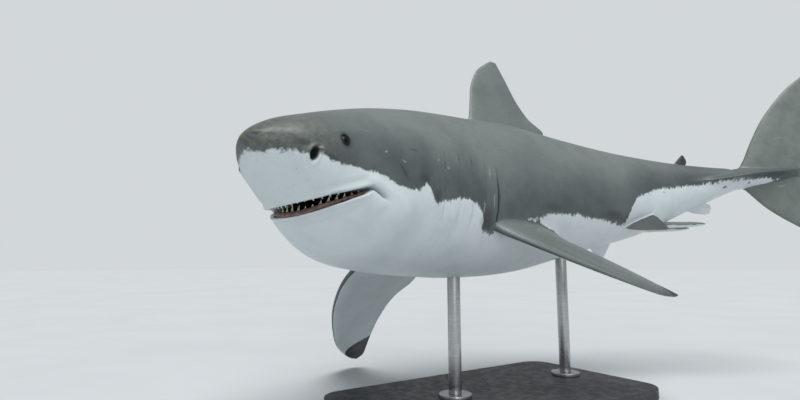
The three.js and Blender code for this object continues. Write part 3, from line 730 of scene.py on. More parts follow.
def build_body():
    """The body without fins, its relief raised from the smooth form."""
    bm = body_tube()
    s, _, l, z = body_coordinates(bm)
    place_vertices(bm, body_point(s, l, z))
    close_and_face_out(bm)
    points = coordinates(bm)
    s, _, z = body_place(points)
    height = eye_relief(points) + nostril_relief(points) + gill_relief(s, z)
    height += fold_relief(s, z) + lip_relief(s, z) + tail_pit_relief(s, z)
    place_vertices(bm, points + vertex_normals(bm) * column(height * PER_CENT))
    mark(bm, "body")
    return new_object("skin", bm)


def fin_tube(shape, part, rim, steps, place):
    """A fin lofted from its root to its tip between a front and a rear edge, thin behind."""
    bm = unit_tube(rim, steps)
    t, angle = tube_coordinates(bm)
    behind = (1 - np.cos(angle)) / 2
    front, rear = curve_point(shape["front"], t), curve_point(shape["rear"], t)
    edge = front + (rear - front) * column(behind)
    at_root, at_tip = shape["thick"]
    thick = at_root + (at_tip - at_root) * t**FIN_TAPER_POWER
    blade = np.sqrt(behind) * (1 - behind) / BLADE_PEAK
    offset = np.sign(np.sin(angle)) * 0.5 * thick * blade
    return finished_tool(bm, place(edge[:, 0], edge[:, 1], offset, behind), part, part)


def middle_fin(shape, part, rim, steps):
    """A fin on the middle line of the back, belly or tail."""
    def place(s, z, offset, behind):
        return body_point(s, offset - shape["lean"] * (z - shape["foot"]), z)

    return fin_tube(shape, part, rim, steps, place)


def paired_axes(shape):
    """A paired fin's root in the room, and its unit vectors along the chord, span and normal."""
    s, l, z = shape["root"]
    tail, left, up = (axis[0] for axis in spine_axes(np.array([float(s)])))
    chord = np.array(shape["chord"]) / np.linalg.norm(shape["chord"])
    span = np.array(shape["span"]) - chord * (chord @ shape["span"])
    span /= np.linalg.norm(span)
    normal = np.cross(chord, span)
    normal *= math.copysign(1, normal[2])
    body = np.stack((tail, left, up))
    root = body_point(s, l, z)
    return root, *(TURN @ (axis @ body) for axis in (chord, span, normal))


def paired_fin(shape, part, rim, steps):
    """A fin on one side, drooping and cambered towards its tip."""
    root, chord, span, normal = paired_axes(shape)
    size = shape["size"] * PER_CENT

    def place(x, y, offset, behind):
        out = np.maximum(0, y / shape["reach"])
        curl = shape["camber"] * behind**2 * np.minimum(1, out / CAMBER_START)
        fall = offset - shape["droop"] * out**2 - curl
        return root + size * (column(x) * chord + column(y) * span + column(fall) * normal)

    return fin_tube(shape, part, rim, steps, place)


def clasper(side, part):
    """A slim rounded rod under the tail, held by the pelvic fin."""
    bm = unit_tube(CLASPER_SIDES, CLASPER_STEPS)
    t, angle = tube_coordinates(bm)
    end = CLASPER_FULLNESS * np.sqrt(np.maximum(0, 1 - t**CLASPER_END_POWER))
    end = np.clip(end, THINNEST_SHARE, 1)
    radius = CLASPER_RADIUS * (1 - CLASPER_TAPER * t) * end
    s, l, z = (a + (b - a) * t for a, b in zip(CLASPER_ROOT, CLASPER_TIP))
    points = body_point(s, side * l + np.cos(angle) * radius, z + np.sin(angle) * radius)
    return finished_tool(bm, points, part, part)


def mouth_gap():
    """The space between the lips, ruled straight across the head."""
    bm = bmesh.new()
    keys = np.linspace(MOUTH_START, MOUTH_CORNER, GAP_STEPS)
    upper = [(s, lip_height(UPPER_LIP, s)) for s in keys]
    lower = [(s, lip_height(LOWER_LIP, s)) for s in keys[::-1]]
    rim = [bm.verts.new((s, -GAP_REACH, z)) for s, z in upper + lower]
    end = bmesh.ops.contextual_create(bm, geom=rim)["faces"]
    across = bmesh.ops.extrude_face_region(bm, geom=end)["geom"]
    moved = [v for v in across if isinstance(v, bmesh.types.BMVert)]
    bmesh.ops.translate(bm, verts=moved, vec=(0, 2 * GAP_REACH, 0))
    return finished_tool(bm, body_point(*coordinates(bm).T), "mouth", "mouth_gap")


def mouth_dome():
    """The hollow of the mouth behind the gums."""
    bm = bmesh.new()
    bmesh.ops.create_uvsphere(bm, **DOME_MESH)
    co = coordinates(bm) * np.array(MOUTH_DOME["radii"]) + np.array(MOUTH_DOME["at"])
    return finished_tool(bm, body_point(*co.T), "mouth", "mouth_dome")


def combine(base, tool, operation):
    """Cuts or joins a closed shape and removes it."""
    cut = base.modifiers.new("cut", "BOOLEAN")
    cut.operation = operation
    cut.solver = "MANIFOLD"
    cut.object = tool
    bpy.context.view_layer.objects.active = base
    bpy.ops.object.modifier_apply(modifier=cut.name)
    mesh = tool.data
    bpy.data.objects.remove(tool)
    bpy.data.meshes.remove(mesh)


# How far from the line where each fin leaves it the body is rounded, in metres.
BLENDS = (
    ("first_dorsal", 0.045), ("second_dorsal", 0.018), ("anal", 0.018), ("caudal", 0.03),
    ("pectoral_left", 0.045), ("pectoral_right", 0.045), ("pelvic_left", 0.025),
    ("pelvic_right", 0.025), ("clasper_left", 0.022), ("clasper_right", 0.022),
)
BLEND_SHARES = (1, 1, 0.9, 0.9, 0.8, 0.8, 0.7, 0.6, 0.5, 0.4, 0.3, 0.2)
LIP_ROUNDING = 0.006
LIP_ROUNDS = 3
SLIVER = 0.0004


def drop_slivers(bm):
    """Removes the tiny loose scraps and needle faces that a join leaves."""
    bmesh.ops.dissolve_degenerate(bm, edges=bm.edges, dist=SLIVER)
    bmesh.ops.triangulate(bm, faces=[f for f in bm.faces if len(f.verts) > 4])
    bm.verts.index_update()
    islands = []
    seen = set()
    for start in bm.verts:
        if start.index in seen:
            continue
        seen.add(start.index)
        island = [start]
        for vertex in island:
            for edge in vertex.link_edges:
                other = edge.other_vert(vertex)
                if other.index not in seen:
                    seen.add(other.index)
                    island.append(other)
        islands.append(island)
    islands.sort(key=len)
    scraps = [v for island in islands[:-1] for v in island]
    bmesh.ops.delete(bm, geom=scraps, context="VERTS")


def border_distance(bm, part):
    """Distance of every vertex from the line where a part meets the rest."""
    layer = bm.faces.layers.int["part"]
    number = PARTS.index(part)
    line = []
    for vertex in bm.verts:
        kinds = {face[layer] for face in vertex.link_faces}
        if number in kinds and len(kinds) > 1:
            line.append(vertex.co.copy())
    tree = KDTree(len(line))
    for index, place in enumerate(line):
        tree.insert(place, index)
    tree.balance()
    return np.array([tree.find(v.co)[2] for v in bm.verts])


def round_joins(bm):
    """Rounds the body where each fin leaves it, and the sharp edges of the lips."""
    rounds = [(part, [reach * share for share in BLEND_SHARES]) for part, reach in BLENDS]
    rounds.append(("mouth", [LIP_ROUNDING] * LIP_ROUNDS))
    vertices = list(bm.verts)
    for part, reaches in rounds:
        distance = border_distance(bm, part)
        for reach in reaches:
            near = [vertices[i] for i in np.flatnonzero(distance < reach)]
            bmesh.ops.smooth_vert(
                bm, verts=near, factor=0.5, use_axis_x=True, use_axis_y=True, use_axis_z=True
            )


# The border between the dark back and the white belly, as (s, z).
COLOUR_EDGE = (
    (0, -0.75), (0.5, -1.0), (1.4, -1.2), (2.7, -1.33), (3.8, -1.25), (4.7, -1.6), (6.0, -1.9),
    (8.3, -2.1), (9.7, -2.4), (10.6, -2.7), (11.2, -3.1), (14.6, -3.1), (15.6, -2.5), (16.2, -2.9),
    (17.0, -4.1), (18.9, -3.65), (22.6, -3.25), (24.2, -3.6), (25.2, -4.5), (25.9, -6.1),
    (29.6, -6.6), (31.5, -5.6), (34, -5.0), (38.8, -4.5), (40.5, -4.0), (43, -3.95), (48, -4.05),
    (51.6, -4.45), (55, -4.7), (57.8, -5.3), (58.7, -4.9), (60.0, -2.6), (61.4, -1.5), (62.6, -1.25),
    (64.4, -0.6), (69.4, -0.45), (74.8, -0.28), (80.6, -0.3), (86, -0.8), (92, -2),
)
FIN_TIP_DARK = {"span": 0.985, "slant": 0.23, "fade": 0.03}
# How the skin's tone grows with the share that faces up, and at what share it changes.
PAIRED_TONES = {"pectoral": (5, 0.3), "pelvic": (3, 0.15), "clasper": (1.5, 0.3)}
FRONT_EDGE_TONE = 5
FRONT_EDGE_WIDTH = 0.05
TIP_TONE = 6
ANAL_TONE = -1.5
UPPER_FIN_TONE = 2.5
TONE_ROUNDS = 4
PELVIC_DARKNESS = 0.8
WHOLLY = 0.99
EDGE_STEPS = 80
NARROWEST_CHORD = 0.3
# Painted shade in the gill slits: where it fades at the ends, its width, and its front and back edges.
SLIT_PAINT = {"start": 0.38, "fade": 0.14, "narrowest": 0.08, "wider": 0.5, "front": 0.1, "back": 0.16}
SLIT_DARK_POWER = 5
SLIT_SIDE = 3
CORNER_SHARE = 0.9
CORNER_SIDE = 2
# Painted shade round the eyes and in the nostrils: how much fades, from where and over what, in their
# sizes.
HOLLOW_FADES = ((EYE, ((0.6, 1.12, 0.14), (0.4, 1.2, 0.7))), (NOSTRIL, ((1, 0.75, 0.45),)))


def fin_shares(shape, points):
    """Shares of the chord and of the span of points on a paired fin."""
    root, chord, span, _ = paired_axes(shape)
    gap = (points - root) / (shape["size"] * PER_CENT)
    x, y = gap @ chord, gap @ span
    steps = np.linspace(0, 1, EDGE_STEPS)
    front, rear = curve_point(shape["front"], steps), curve_point(shape["rear"], steps)
    lead = np.interp(y, front[:, 1], front[:, 0])
    trail = np.interp(y, rear[:, 1], rear[:, 0])
    return np.clip((x - lead) / np.maximum(trail - lead, NARROWEST_CHORD), 0, 1), y / front[-1, 1]


def part_shares(bm):
    """How much each vertex belongs to each part."""
    layer = bm.faces.layers.int["part"]
    share = np.zeros((len(bm.verts), len(PARTS)))
    for i, vertex in enumerate(bm.verts):
        for face in vertex.link_faces:
            share[i, face[layer]] += 1
    share /= share.sum(1, keepdims=True)
    return {part: share[:, i] for i, part in enumerate(PARTS)}


def soften(bm, values, rounds):
    """Averages values over neighbouring vertices."""
    bm.verts.index_update()
    ends = np.array([(e.verts[0].index, e.verts[1].index) for e in bm.edges])
    count = np.bincount(ends.ravel(), minlength=len(values))
    for _ in range(rounds):
        total = np.zeros(len(values))
        np.add.at(total, ends[:, 0], values[ends[:, 1]])
        np.add.at(total, ends[:, 1], values[ends[:, 0]])
        values = 0.5 * values + 0.5 * total / count
    return values


def both(of_part, pair):
    """How much each vertex belongs to either fin of a pair."""
    return of_part[f"{pair}_left"] + of_part[f"{pair}_right"]


def skin_tone(of_part, s, z, facing_up, front_edge, tip):
    """Above 0 where the skin is dark, below 0 where it is white, in per cent from the border."""
    tone = z - np.interp(s, *np.array(COLOUR_EDGE).T)
    for pair, (growth, turn) in PAIRED_TONES.items():
        wrapped = growth * (facing_up + turn) + FRONT_EDGE_TONE * front_edge + TIP_TONE * tip
        tone = np.where(both(of_part, pair) > 0.5, wrapped, tone)
    tone = np.where(of_part["anal"] > 0.5, ANAL_TONE, tone)
    upper = of_part["first_dorsal"] + of_part["second_dorsal"] + of_part["caudal"]
    return np.where(upper > 0.5, np.maximum(tone, UPPER_FIN_TONE), tone)


def painted_slit_shade(of_part, s, l, z):
    """Painted shade in the slits behind the gill flaps, deepest low down and behind the last flap."""
    mask = np.zeros(len(s))
    for slit in GILL_SLITS:
        behind, along = slit_distance(s, z, slit)
        ends = 1 - smooth((np.abs(along) - SLIT_PAINT["start"]) / SLIT_PAINT["fade"])
        width = SLIT_PAINT["narrowest"] + SLIT_PAINT["wider"] * slit["dark"] ** SLIT_DARK_POWER
        past = (behind - slit_opening(along, width)) / SLIT_PAINT["back"]
        inside = smooth(behind / SLIT_PAINT["front"] + 0.5) * (1 - smooth(past))
        mask = np.maximum(mask, ends * inside * slit["dark"])
    return mask * of_part["body"] * (np.abs(l) > SLIT_SIDE)


def painted_hollow_shade_mask(points, s, l, z):
    """Painted shade in the eye sockets, the nostrils and the furrow behind the mouth's corner."""
    mask = np.zeros(len(points))
    for side in (1, -1):
        for shape, fades in HOLLOW_FADES:
            a, b, c = skin_offsets(shape, side, points)
            reach = np.hypot(a / shape["along"], b / shape["up"])
            dark = 1 - sum(share * smooth((reach - start) / width) for share, start, width in fades)
            mask = np.maximum(mask, dark * (np.abs(c) < NEAR_SKIN))
    corner, width, _ = FOLDS[0]
    furrow = fold_mask(corner, width, s, z) * (np.abs(l) > CORNER_SIDE)
    return np.maximum(mask, CORNER_SHARE * furrow)


def paint_attributes(bm):
    """Writes where each vertex lies on the animal, and the masks that the skin's colours follow."""
    points = coordinates(bm)
    s, l, z = body_place(points)
    facing_up = (vertex_normals(bm) * (spine_axes(s)[2] @ TURN.T)).sum(1)
    of_part = part_shares(bm)
    chord, span, tip = np.zeros((3, len(s)))
    for part, shape in (("pectoral_left", PECTORAL_LEFT), ("pectoral_right", PECTORAL_RIGHT)):
        here = of_part[part] > 0.5
        chord[here], span[here] = fin_shares(shape, points[here])
        past = span + FIN_TIP_DARK["slant"] * chord - FIN_TIP_DARK["span"]
        tip = np.where(here, smooth(past / FIN_TIP_DARK["fade"] + 0.5), tip)
    front_edge = np.where(span > 0, 1 - smooth(chord / FRONT_EDGE_WIDTH), 0)
    tone = skin_tone(of_part, s, z, facing_up, front_edge, tip)
    # The tail fin and claspers are paler; on the tail fin this is partly painted sunlight.
    pale_and_painted_sunlit_fins = of_part["caudal"] + both(of_part, "clasper")
    small_fins = of_part["second_dorsal"] + PELVIC_DARKNESS * both(of_part, "pelvic")
    # Painted shade in the eye sockets, the nostrils and the furrow behind the mouth's corner.
    painted_face_shade = painted_hollow_shade_mask(points, s, l, z)
    write_vector(bm, "place", s, l, z)
    write_vector(bm, "paint", soften(bm, tone, TONE_ROUNDS), of_part["mouth"] > WHOLLY, tip)
    # Painted shade in the gill slits, eye sockets, nostrils and mouth furrow, and the paler tail fin and
    # claspers.
    write_vector(bm, "marks_and_painted_light", painted_slit_shade(of_part, s, l, z), painted_face_shade, pale_and_painted_sunlit_fins)
    write_vector(bm, "fin", chord, span, small_fins)


def write_vector(bm, name, *parts):
    layer = bm.verts.layers.float_vector.new(name)
    for vertex, values in zip(bm.verts, np.stack(parts, -1)):
        vertex[layer] = values


def build_skin():
    """The body with its mouth cut out and every fin joined on, rounded and painted."""
    skin = build_body()
    combine(skin, mouth_gap(), "DIFFERENCE")
    combine(skin, mouth_dome(), "DIFFERENCE")
    for part, shape, rim, steps in MIDDLE_FINS:
        combine(skin, middle_fin(shape, part, rim, steps), "UNION")
    for part, shape, rim, steps in PAIRED_FINS:
        combine(skin, paired_fin(shape, part, rim, steps), "UNION")
    for side, part in ((1, "clasper_left"), (-1, "clasper_right")):
        combine(skin, clasper(side, part), "UNION")
    bm = bmesh.new()
    bm.from_mesh(skin.data)
    drop_slivers(bm)
    round_joins(bm)
    paint_attributes(bm)
    shade_smooth(bm)
    bm.to_mesh(skin.data)
    bm.free()
    return skin


# Eyes, gums and teeth.

WIDEST_RIM = 4.85
RIM_BEND = 1.35
RIM_ROUNDS = 30
RIM_STEP = 0.01


def rim_station(lip, l, inset):
    """Where the rim of the mouth lies at a distance l from the middle plane, inset from the skin."""
    low = np.full(l.shape, MOUTH_START)
    high = np.full(l.shape, MOUTH_CORNER)
    for _ in range(RIM_ROUNDS):
        s = (low + high) / 2
        z = lip_height(lip, s)
        inside = (-z < belly_depth(s)) & (side_at(s, z) - inset > np.abs(l))
        high = np.where(inside, s, high)
        low = np.where(inside, low, s)
    return (low + high) / 2


def rim_line(lip, share, inset):
    """The (s, l) along a jaw, with share from -1 at one corner to 1 at the other."""
    l = WIDEST_RIM * np.sin(share * RIM_BEND) / math.sin(RIM_BEND)
    return rim_station(lip, l, inset), l


def rim_frame(lip, share, inset):
    """The (s, l) along a jaw, with unit vectors along it and inward from it."""
    s, l = rim_line(lip, share, inset)
    s_next, l_next = rim_line(lip, share + RIM_STEP, inset)
    along = np.stack((s_next - s, l_next - l), -1)
    along /= np.linalg.norm(along, axis=-1, keepdims=True)
    inward = np.stack((along[..., 1], -along[..., 0]), -1)
    return s, l, along, inward


def jaw_gap(s):
    """The gap between the lips at s."""
    return lip_height(UPPER_LIP, s) - lip_height(LOWER_LIP, s)


JAWS = {
    "upper": {"lip": UPPER_LIP, "rise": -1, "inset": 0.85, "gum": 0.2, "wide": 0.55,
              "blunt": 0.9, "lift": -0.36, "gape": 0.5, "uneven": 0.2},
    "lower": {"lip": LOWER_LIP, "rise": 1, "inset": 0.62, "gum": 0.45, "wide": 0.42,
              "blunt": 1.15, "lift": -0.06, "gape": 0.8, "uneven": 0.4},
}
# Gums and teeth. FULL_GAP is the gap between the lips from which they are full size.
GUM_SIDES = 20
GUM_STEPS = 220
GUM_REACH = 0.96
GUM_THICKNESS = 0.2
GUM_FULL_GAP = 0.9
GUM_SWELLING = 0.14
TOOTH_SIDES = 14
TOOTH_STEPS = 10
TOOTH_FULL_GAP = 0.85
TOOTH_CORNER_SHRINK = 0.35
TOOTH_LEAST_HEIGHT = 0.1
TOOTH_WAIST = 0.25
TOOTH_DEPTH = 0.09
TOOTH_DEPTH_POWER = 0.6
TOOTH_LEAN = 0.12
TOOTH_SIDE_POWER = 1.6
TOOTH_BACK_POWER = 1.5
TOOTH_SEAT = 0.75
TOOTH_VARIETY = 5.3
ROW_END = 0.7


def gum(name, jaw, count):
    """A ridge along the jaw, with a low swelling at the foot of every tooth."""
    bm = unit_tube(GUM_SIDES, GUM_STEPS)
    t, angle = tube_coordinates(bm)
    share = GUM_REACH * (2 * t - 1)
    s, l, _, inward = rim_frame(jaw["lip"], share, jaw["inset"])
    rise = jaw["gum"] * np.minimum(1, jaw_gap(s) / GUM_FULL_GAP)
    swelling = 1 + GUM_SWELLING * np.cos(math.pi * share * (count + 2 * ROW_END - 1))
    across = GUM_THICKNESS * np.cos(angle)
    up = rise * (0.5 + 0.5 * swelling * np.sin(angle)) + jaw["lift"]
    z = lip_height(jaw["lip"], s) + jaw["rise"] * up
    points = body_point(s + inward[:, 0] * across, l + inward[:, 1] * across, z)
    return new_object(name, smooth_shape(bm, points))


def tooth(jaw, tall, share, wobble):
    """One flat pointed tooth that leans back a little; None where the mouth is too narrow."""
    at = np.array([share])
    s, l, along, inward = (v[0] for v in rim_frame(jaw["lip"], at, jaw["inset"]))
    gap = float(jaw_gap(s))
    size = min(1, gap / TOOTH_FULL_GAP) * (1 - TOOTH_CORNER_SHRINK * share**2)
    tall = min(tall / PER_CENT * size * (1 + jaw["uneven"] * wobble), gap * jaw["gape"])
    if tall < TOOTH_LEAST_HEIGHT:
        return None
    bm = unit_tube(TOOTH_SIDES, TOOTH_STEPS)
    t, angle = tube_coordinates(bm)
    crown = bm.verts.layers.float.new("crown")
    for vertex, value in zip(bm.verts, t):
        vertex[crown] = value
    narrow = (1 - t) ** jaw["blunt"] * (1 - TOOTH_WAIST * np.sin(math.pi * t))
    narrow = np.maximum(narrow, THINNEST_SHARE)
    side = 0.5 * jaw["wide"] * size * narrow * np.cos(angle)
    side += TOOTH_LEAN * size * (math.copysign(1, share) + wobble) * t**TOOTH_SIDE_POWER
    deep = TOOTH_DEPTH * size * narrow**TOOTH_DEPTH_POWER * np.sin(angle)
    deep += TOOTH_LEAN * size * t**TOOTH_BACK_POWER
    up = jaw["lift"] + jaw["gum"] * TOOTH_SEAT + tall * t
    z = lip_height(jaw["lip"], s) + jaw["rise"] * up
    s_at = s + along[0] * side + inward[0] * deep
    l_at = l + along[1] * side + inward[1] * deep
    return smooth_shape(bm, body_point(s_at, l_at, z))


def tooth_row(name, jaw, count, tall):
    """The teeth of one jaw, each a little different."""
    whole = bmesh.new()
    whole.verts.layers.float.new("crown")
    half = count // 2
    for number in range(-half, half + 1):
        bm = tooth(jaw, tall, number / (half + ROW_END), math.sin(TOOTH_VARIETY * number))
        if bm is None:
            continue
        mesh = bpy.data.meshes.new("tooth")
        bm.to_mesh(mesh)
        bm.free()
        whole.from_mesh(mesh)
        bpy.data.meshes.remove(mesh)
    return new_object(name, whole)


def eyeball(name, side):
    """A rounded ball sunk in its socket."""
    bm = bmesh.new()
    bmesh.ops.create_uvsphere(bm, **BALL_MESH)
    layer = bm.verts.layers.float_vector.new("ball")
    co = coordinates(bm)
    for vertex, place in zip(bm.verts, co):
        vertex[layer] = place
    here, tail, up, out = skin_axes(EYE, side)
    axes = np.stack((tail * EYEBALL["along"], up * EYEBALL["up"], out * EYEBALL["out"]))
    points = here + PER_CENT * (co @ axes - out * EYEBALL["sink"])
    return new_object(name, smooth_shape(bm, points))


# Materials.

BLACK = (0.012, 0.013, 0.014, 1)
# Cloudy patches: the scale of their noise, and where in it they start and are full.
PATCHES = {
    "skin_clouds": (3.6, 0.3, 0.7),
    "skin_speckle": (62.0, 0.5, 0.75),
    "skin_dullness": (18.0, 0.35, 0.65),
    "olive_mottles": (2.4, 0.3, 0.75),
    "tail_mottles": (11.0, 0.35, 0.75),
    "fin_rays": (1.0, 0.42, 0.6),
    "fin_grooves": (1.0, 0.5, 0.62),
    "belly_clouds": (7.0, 0.4, 0.75),
    "pore_patches": (1.1, 0.42, 0.55),
    "mouth_flesh": (2.2, 0.35, 0.65),
    "iris": (9.0, 0.3, 0.7),
    "gum": (55.0, 0.35, 0.65),
    "tooth": (120.0, 0.4, 0.7),
    "board_dust": (6.0, 0.35, 0.75),
    "board_dullness": (22.0, 0.35, 0.65),
    "steel_dullness": (14.0, 0.35, 0.65),
    "floor_shade": (0.8, 0.3, 0.7),
}
# Raised grain: its scale, the share of the coarser swell under it, and its height in metres.
GRAINS = {
    "skin": (900.0, 0.5, 0.0005),
    "eye": (14.0, 1.0, 0.00005),
    "gum": (900.0, 3.0, 0.0007),
    "tooth": (1500.0, 1.5, 0.0001),
    "board": (420.0, 0.5, 0.0003),
    "brush_lines": (1400.0, 0.6, 0.0002),
    "floor": (260.0, 0.5, 0.0003),
}
# Where a zone starts and is full, in per cent along the body or in shares of what it lies on.
ZONES = {
    "left_side": (0.0, 0.5),
    "past_snout": (3.0, 7.0),
    "streaked_border": (13.0, 20.0),
    "dark_side": (-0.13, 0.13),
    "painted_light_up_the_back": (0.4, 8.0),
    "on_fin": (0.02, 0.12),
    "fin_end": (0.84, 0.98),
    "fin_tip": (0.2, 0.8),
    "mouth": (0.0, 0.4),
    "gills_start": (15.0, 18.0),
    "gills_end": (29.0, 32.0),
    "round_pore": (0.06, 0.14),
    "past_pupil": (0.36, 0.5),
    "past_iris": (0.66, 0.82),
    "crown": (0.05, 0.5),
    "brush_line": (0.5, 1.1),
    "past_spot": (0.2, 1.1),
}
# How strongly each layer of the skin shows.
SHARES = {
    "clouds": 0.4,
    "painted_light_up_the_back": 0.75,
    "speckle": 0.3,
    "olive": 0.06,
    "olive_on_snout": 0.5,
    "tail": 0.6,
    "mottles": 0.35,
    "fin_lines": 0.35,
    "fin_end": 0.75,
    "small_fin": 0.75,
    "belly_clouds": 0.55,
    "pores": 0.7,
    "creases": 6.0,
}
# Roughness: what full patches, or a tooth's whole height, add, and what it starts from.
DULLNESS = {
    "skin": (0.16, 0.36),
    "tooth": (-0.1, 0.34),
    "board": (0.2, 0.38),
    "steel": (0.12, 0.24),
}
HOLLOW_DULLNESS = 0.45
SKIN_COAT = 0.15
# Unevenness of the colour border: stretch, scale, detail and roughness of its noise.
BORDER_COMB = ((5.0, 0.5, 1.0), 1.0, 3.0, 0.6)
BORDER_WOBBLE = ((1.0, 1.0, 1.0), 2.6, 4.0, 0.65)
BORDER_SWELL = ((1.0, 1.0, 1.0), 0.55, 2.0, 0.55)
BORDER_SHARE = 0.9
HEAD_COMB = 0.2
RAY_STRETCH = (30, 2.0, 0)
GROOVE_STRETCH = (44, 2.6, 0)
CREASE_STRETCH = (2.4, 0.3, 0.45)
BRUSH_STRETCH = (0.04, 0.04, 1)
COARSE_SCALE = 0.12
PORE_SPACING = 3.6
MARK_DEPTH = 30
MARK_NOISE = 1.9
RAGGED = (0.5, 0.5, 0.5)
CENTRED = (-0.25, -0.25, -0.25)


def new_material(name):
    """A material with its node tree and its shader."""
    material = bpy.data.materials.new(name)
    material.use_nodes = True
    tree = material.node_tree
    return material, tree, tree.nodes["Principled BSDF"]


def feed(tree, socket, value):
    """Links a socket to another, or gives it a plain value."""
    if isinstance(value, bpy.types.NodeSocket):
        tree.links.new(value, socket)
    else:
        socket.default_value = value


def add_node(tree, kind, sockets, **settings):
    """The outputs of a new node, with its settings and what feeds its named or numbered sockets."""
    node = tree.nodes.new(f"ShaderNode{kind}")
    for name, value in settings.items():
        setattr(node, name, value)
    for name, value in sockets.items():
        feed(tree, node.inputs[name], value)
    return node.outputs


def dress(tree, shader, **values):
    """Feeds the shader's sockets, whose names have _ for a space here."""
    for title, value in values.items():
        feed(tree, shader.inputs[title.replace("_", " ")], value)


def maths(tree, operation, *values, clamp=False):
    sockets = dict(enumerate(values))
    return add_node(tree, "Math", sockets, operation=operation, use_clamp=clamp)[0]


def vector_maths(tree, operation, *values):
    outputs = add_node(tree, "VectorMath", dict(enumerate(values)), operation=operation)
    return outputs[1] if operation == "LENGTH" else outputs[0]


def scaled(tree, value, factor, start):
    """start + value * factor."""
    return maths(tree, "MULTIPLY_ADD", value, factor, start)


def times(tree, *values):
    """The product of several masks."""
    product = values[0]
    for value in values[1:]:
        product = maths(tree, "MULTIPLY", product, value)
    return product


def opposite(tree, value):
    return maths(tree, "SUBTRACT", 1.0, value, clamp=True)


def mix(tree, share, a, b):
    """Colour a where the share is 0, b where it is 1."""
    return add_node(tree, "Mix", {"Factor": share, 6: a, 7: b}, data_type="RGBA")[2]


def layered(tree, colour, *layers):
    """Lays colours over a first one; each layer is a colour and its masks."""
    for over, *masks in layers:
        colour = mix(tree, times(tree, *masks), colour, over)
    return colour


def noise(tree, at, scale, detail, roughness, output="Fac"):
    sockets = {"Vector": at, "Scale": scale, "Detail": detail, "Roughness": roughness}
    return add_node(tree, "TexNoise", sockets)[output]


def ramp(tree, value, low, high):
    """0 at low rising smoothly to 1 at high."""
    sockets = {"Value": value, "From Min": low, "From Max": high}
    return add_node(tree, "MapRange", sockets, interpolation_type="SMOOTHSTEP")[0]


def zone(tree, value, name):
    """How far a value is into one of the zones."""
    return ramp(tree, value, *ZONES[name])


def attribute(tree, name, output="Vector"):
    return add_node(tree, "Attribute", {}, attribute_name=name)[output]


def split(tree, vector):
    return add_node(tree, "SeparateXYZ", {0: vector})


def joined(tree, *values):
    return add_node(tree, "CombineXYZ", dict(enumerate(values)))[0]


def object_place(tree):
    return add_node(tree, "TexCoord", {})["Object"]


def stretched(tree, at, scale):
    return add_node(tree, "Mapping", {"Vector": at, "Scale": scale})[0]


def bumps(tree, height, distance):
    return add_node(tree, "Bump", {"Height": height, "Distance": distance})[0]


# Effects that several materials share, each a node group with its own inputs and outputs.


def new_group(name, inputs, output):
    """An empty node group, its input sockets by name and its one output socket."""
    tree = bpy.data.node_groups.new(name, "ShaderNodeTree")
    for title, kind in inputs.items():
        tree.interface.new_socket(title, in_out="INPUT", socket_type=f"NodeSocket{kind}")
    tree.interface.new_socket(output, in_out="OUTPUT", socket_type="NodeSocketFloat")
    given = tree.nodes.new("NodeGroupInput").outputs
    return tree, given, tree.nodes.new("NodeGroupOutput").inputs[output]


def patches_group():
    """Cloudy patches: 0 where the noise is under Low, 1 where it is over High."""
    inputs = {"Place": "Vector", "Scale": "Float", "Low": "Float", "High": "Float"}
    tree, given, result = new_group("patches", inputs, "Mask")
    cloud = noise(tree, given["Place"], given["Scale"], detail=4.0, roughness=0.6)
    feed(tree, result, ramp(tree, cloud, given["Low"], given["High"]))
    return tree


def spot_group():
    """One soft-edged oval: 1 in its middle, 0 outside."""
    inputs = {"Place": "Vector", "Centre": "Vector", "Half": "Vector", "Slope": "Float"}
    tree, given, result = new_group("spot", inputs, "Mask")
    x, y, z = split(tree, vector_maths(tree, "SUBTRACT", given["Place"], given["Centre"]))
    along = maths(tree, "SUBTRACT", x, times(tree, z, given["Slope"]))
    share = vector_maths(tree, "DIVIDE", joined(tree, along, y, z), given["Half"])
    reach = vector_maths(tree, "LENGTH", share)
    feed(tree, result, opposite(tree, zone(tree, reach, "past_spot")))
    return tree


def grain_group():
    """A fine raised grain with a coarser swell under it."""
    inputs = {"Place": "Vector", "Scale": "Float", "Swell": "Float"}
    tree, given, result = new_group("grain", inputs, "Height")
    fine = noise(tree, given["Place"], given["Scale"], detail=2.0, roughness=0.5)
    coarse_scale = times(tree, given["Scale"], COARSE_SCALE)
    coarse = noise(tree, given["Place"], coarse_scale, detail=3.0, roughness=0.55)
    feed(tree, result, scaled(tree, coarse, given["Swell"], fine))
    return tree


GROUPS = {"patches": patches_group, "spot": spot_group, "grain": grain_group}


def place_group(tree, name, **values):
    """Places a shared group, which is built the first time, and gives back its output."""
    group = bpy.data.node_groups.get(name) or GROUPS[name]()
    return add_node(tree, "Group", values, node_tree=group)[0]


def patches(tree, at, name):
    scale, low, high = PATCHES[name]
    return place_group(tree, "patches", Place=at, Scale=scale, Low=low, High=high)


def grain(tree, at, name):
    scale, swell, _ = GRAINS[name]
    return place_group(tree, "grain", Place=at, Scale=scale, Swell=swell)


def grained(tree, at, name):
    """The normal of a surface with one of the grains."""
    return bumps(tree, grain(tree, at, name), GRAINS[name][2])


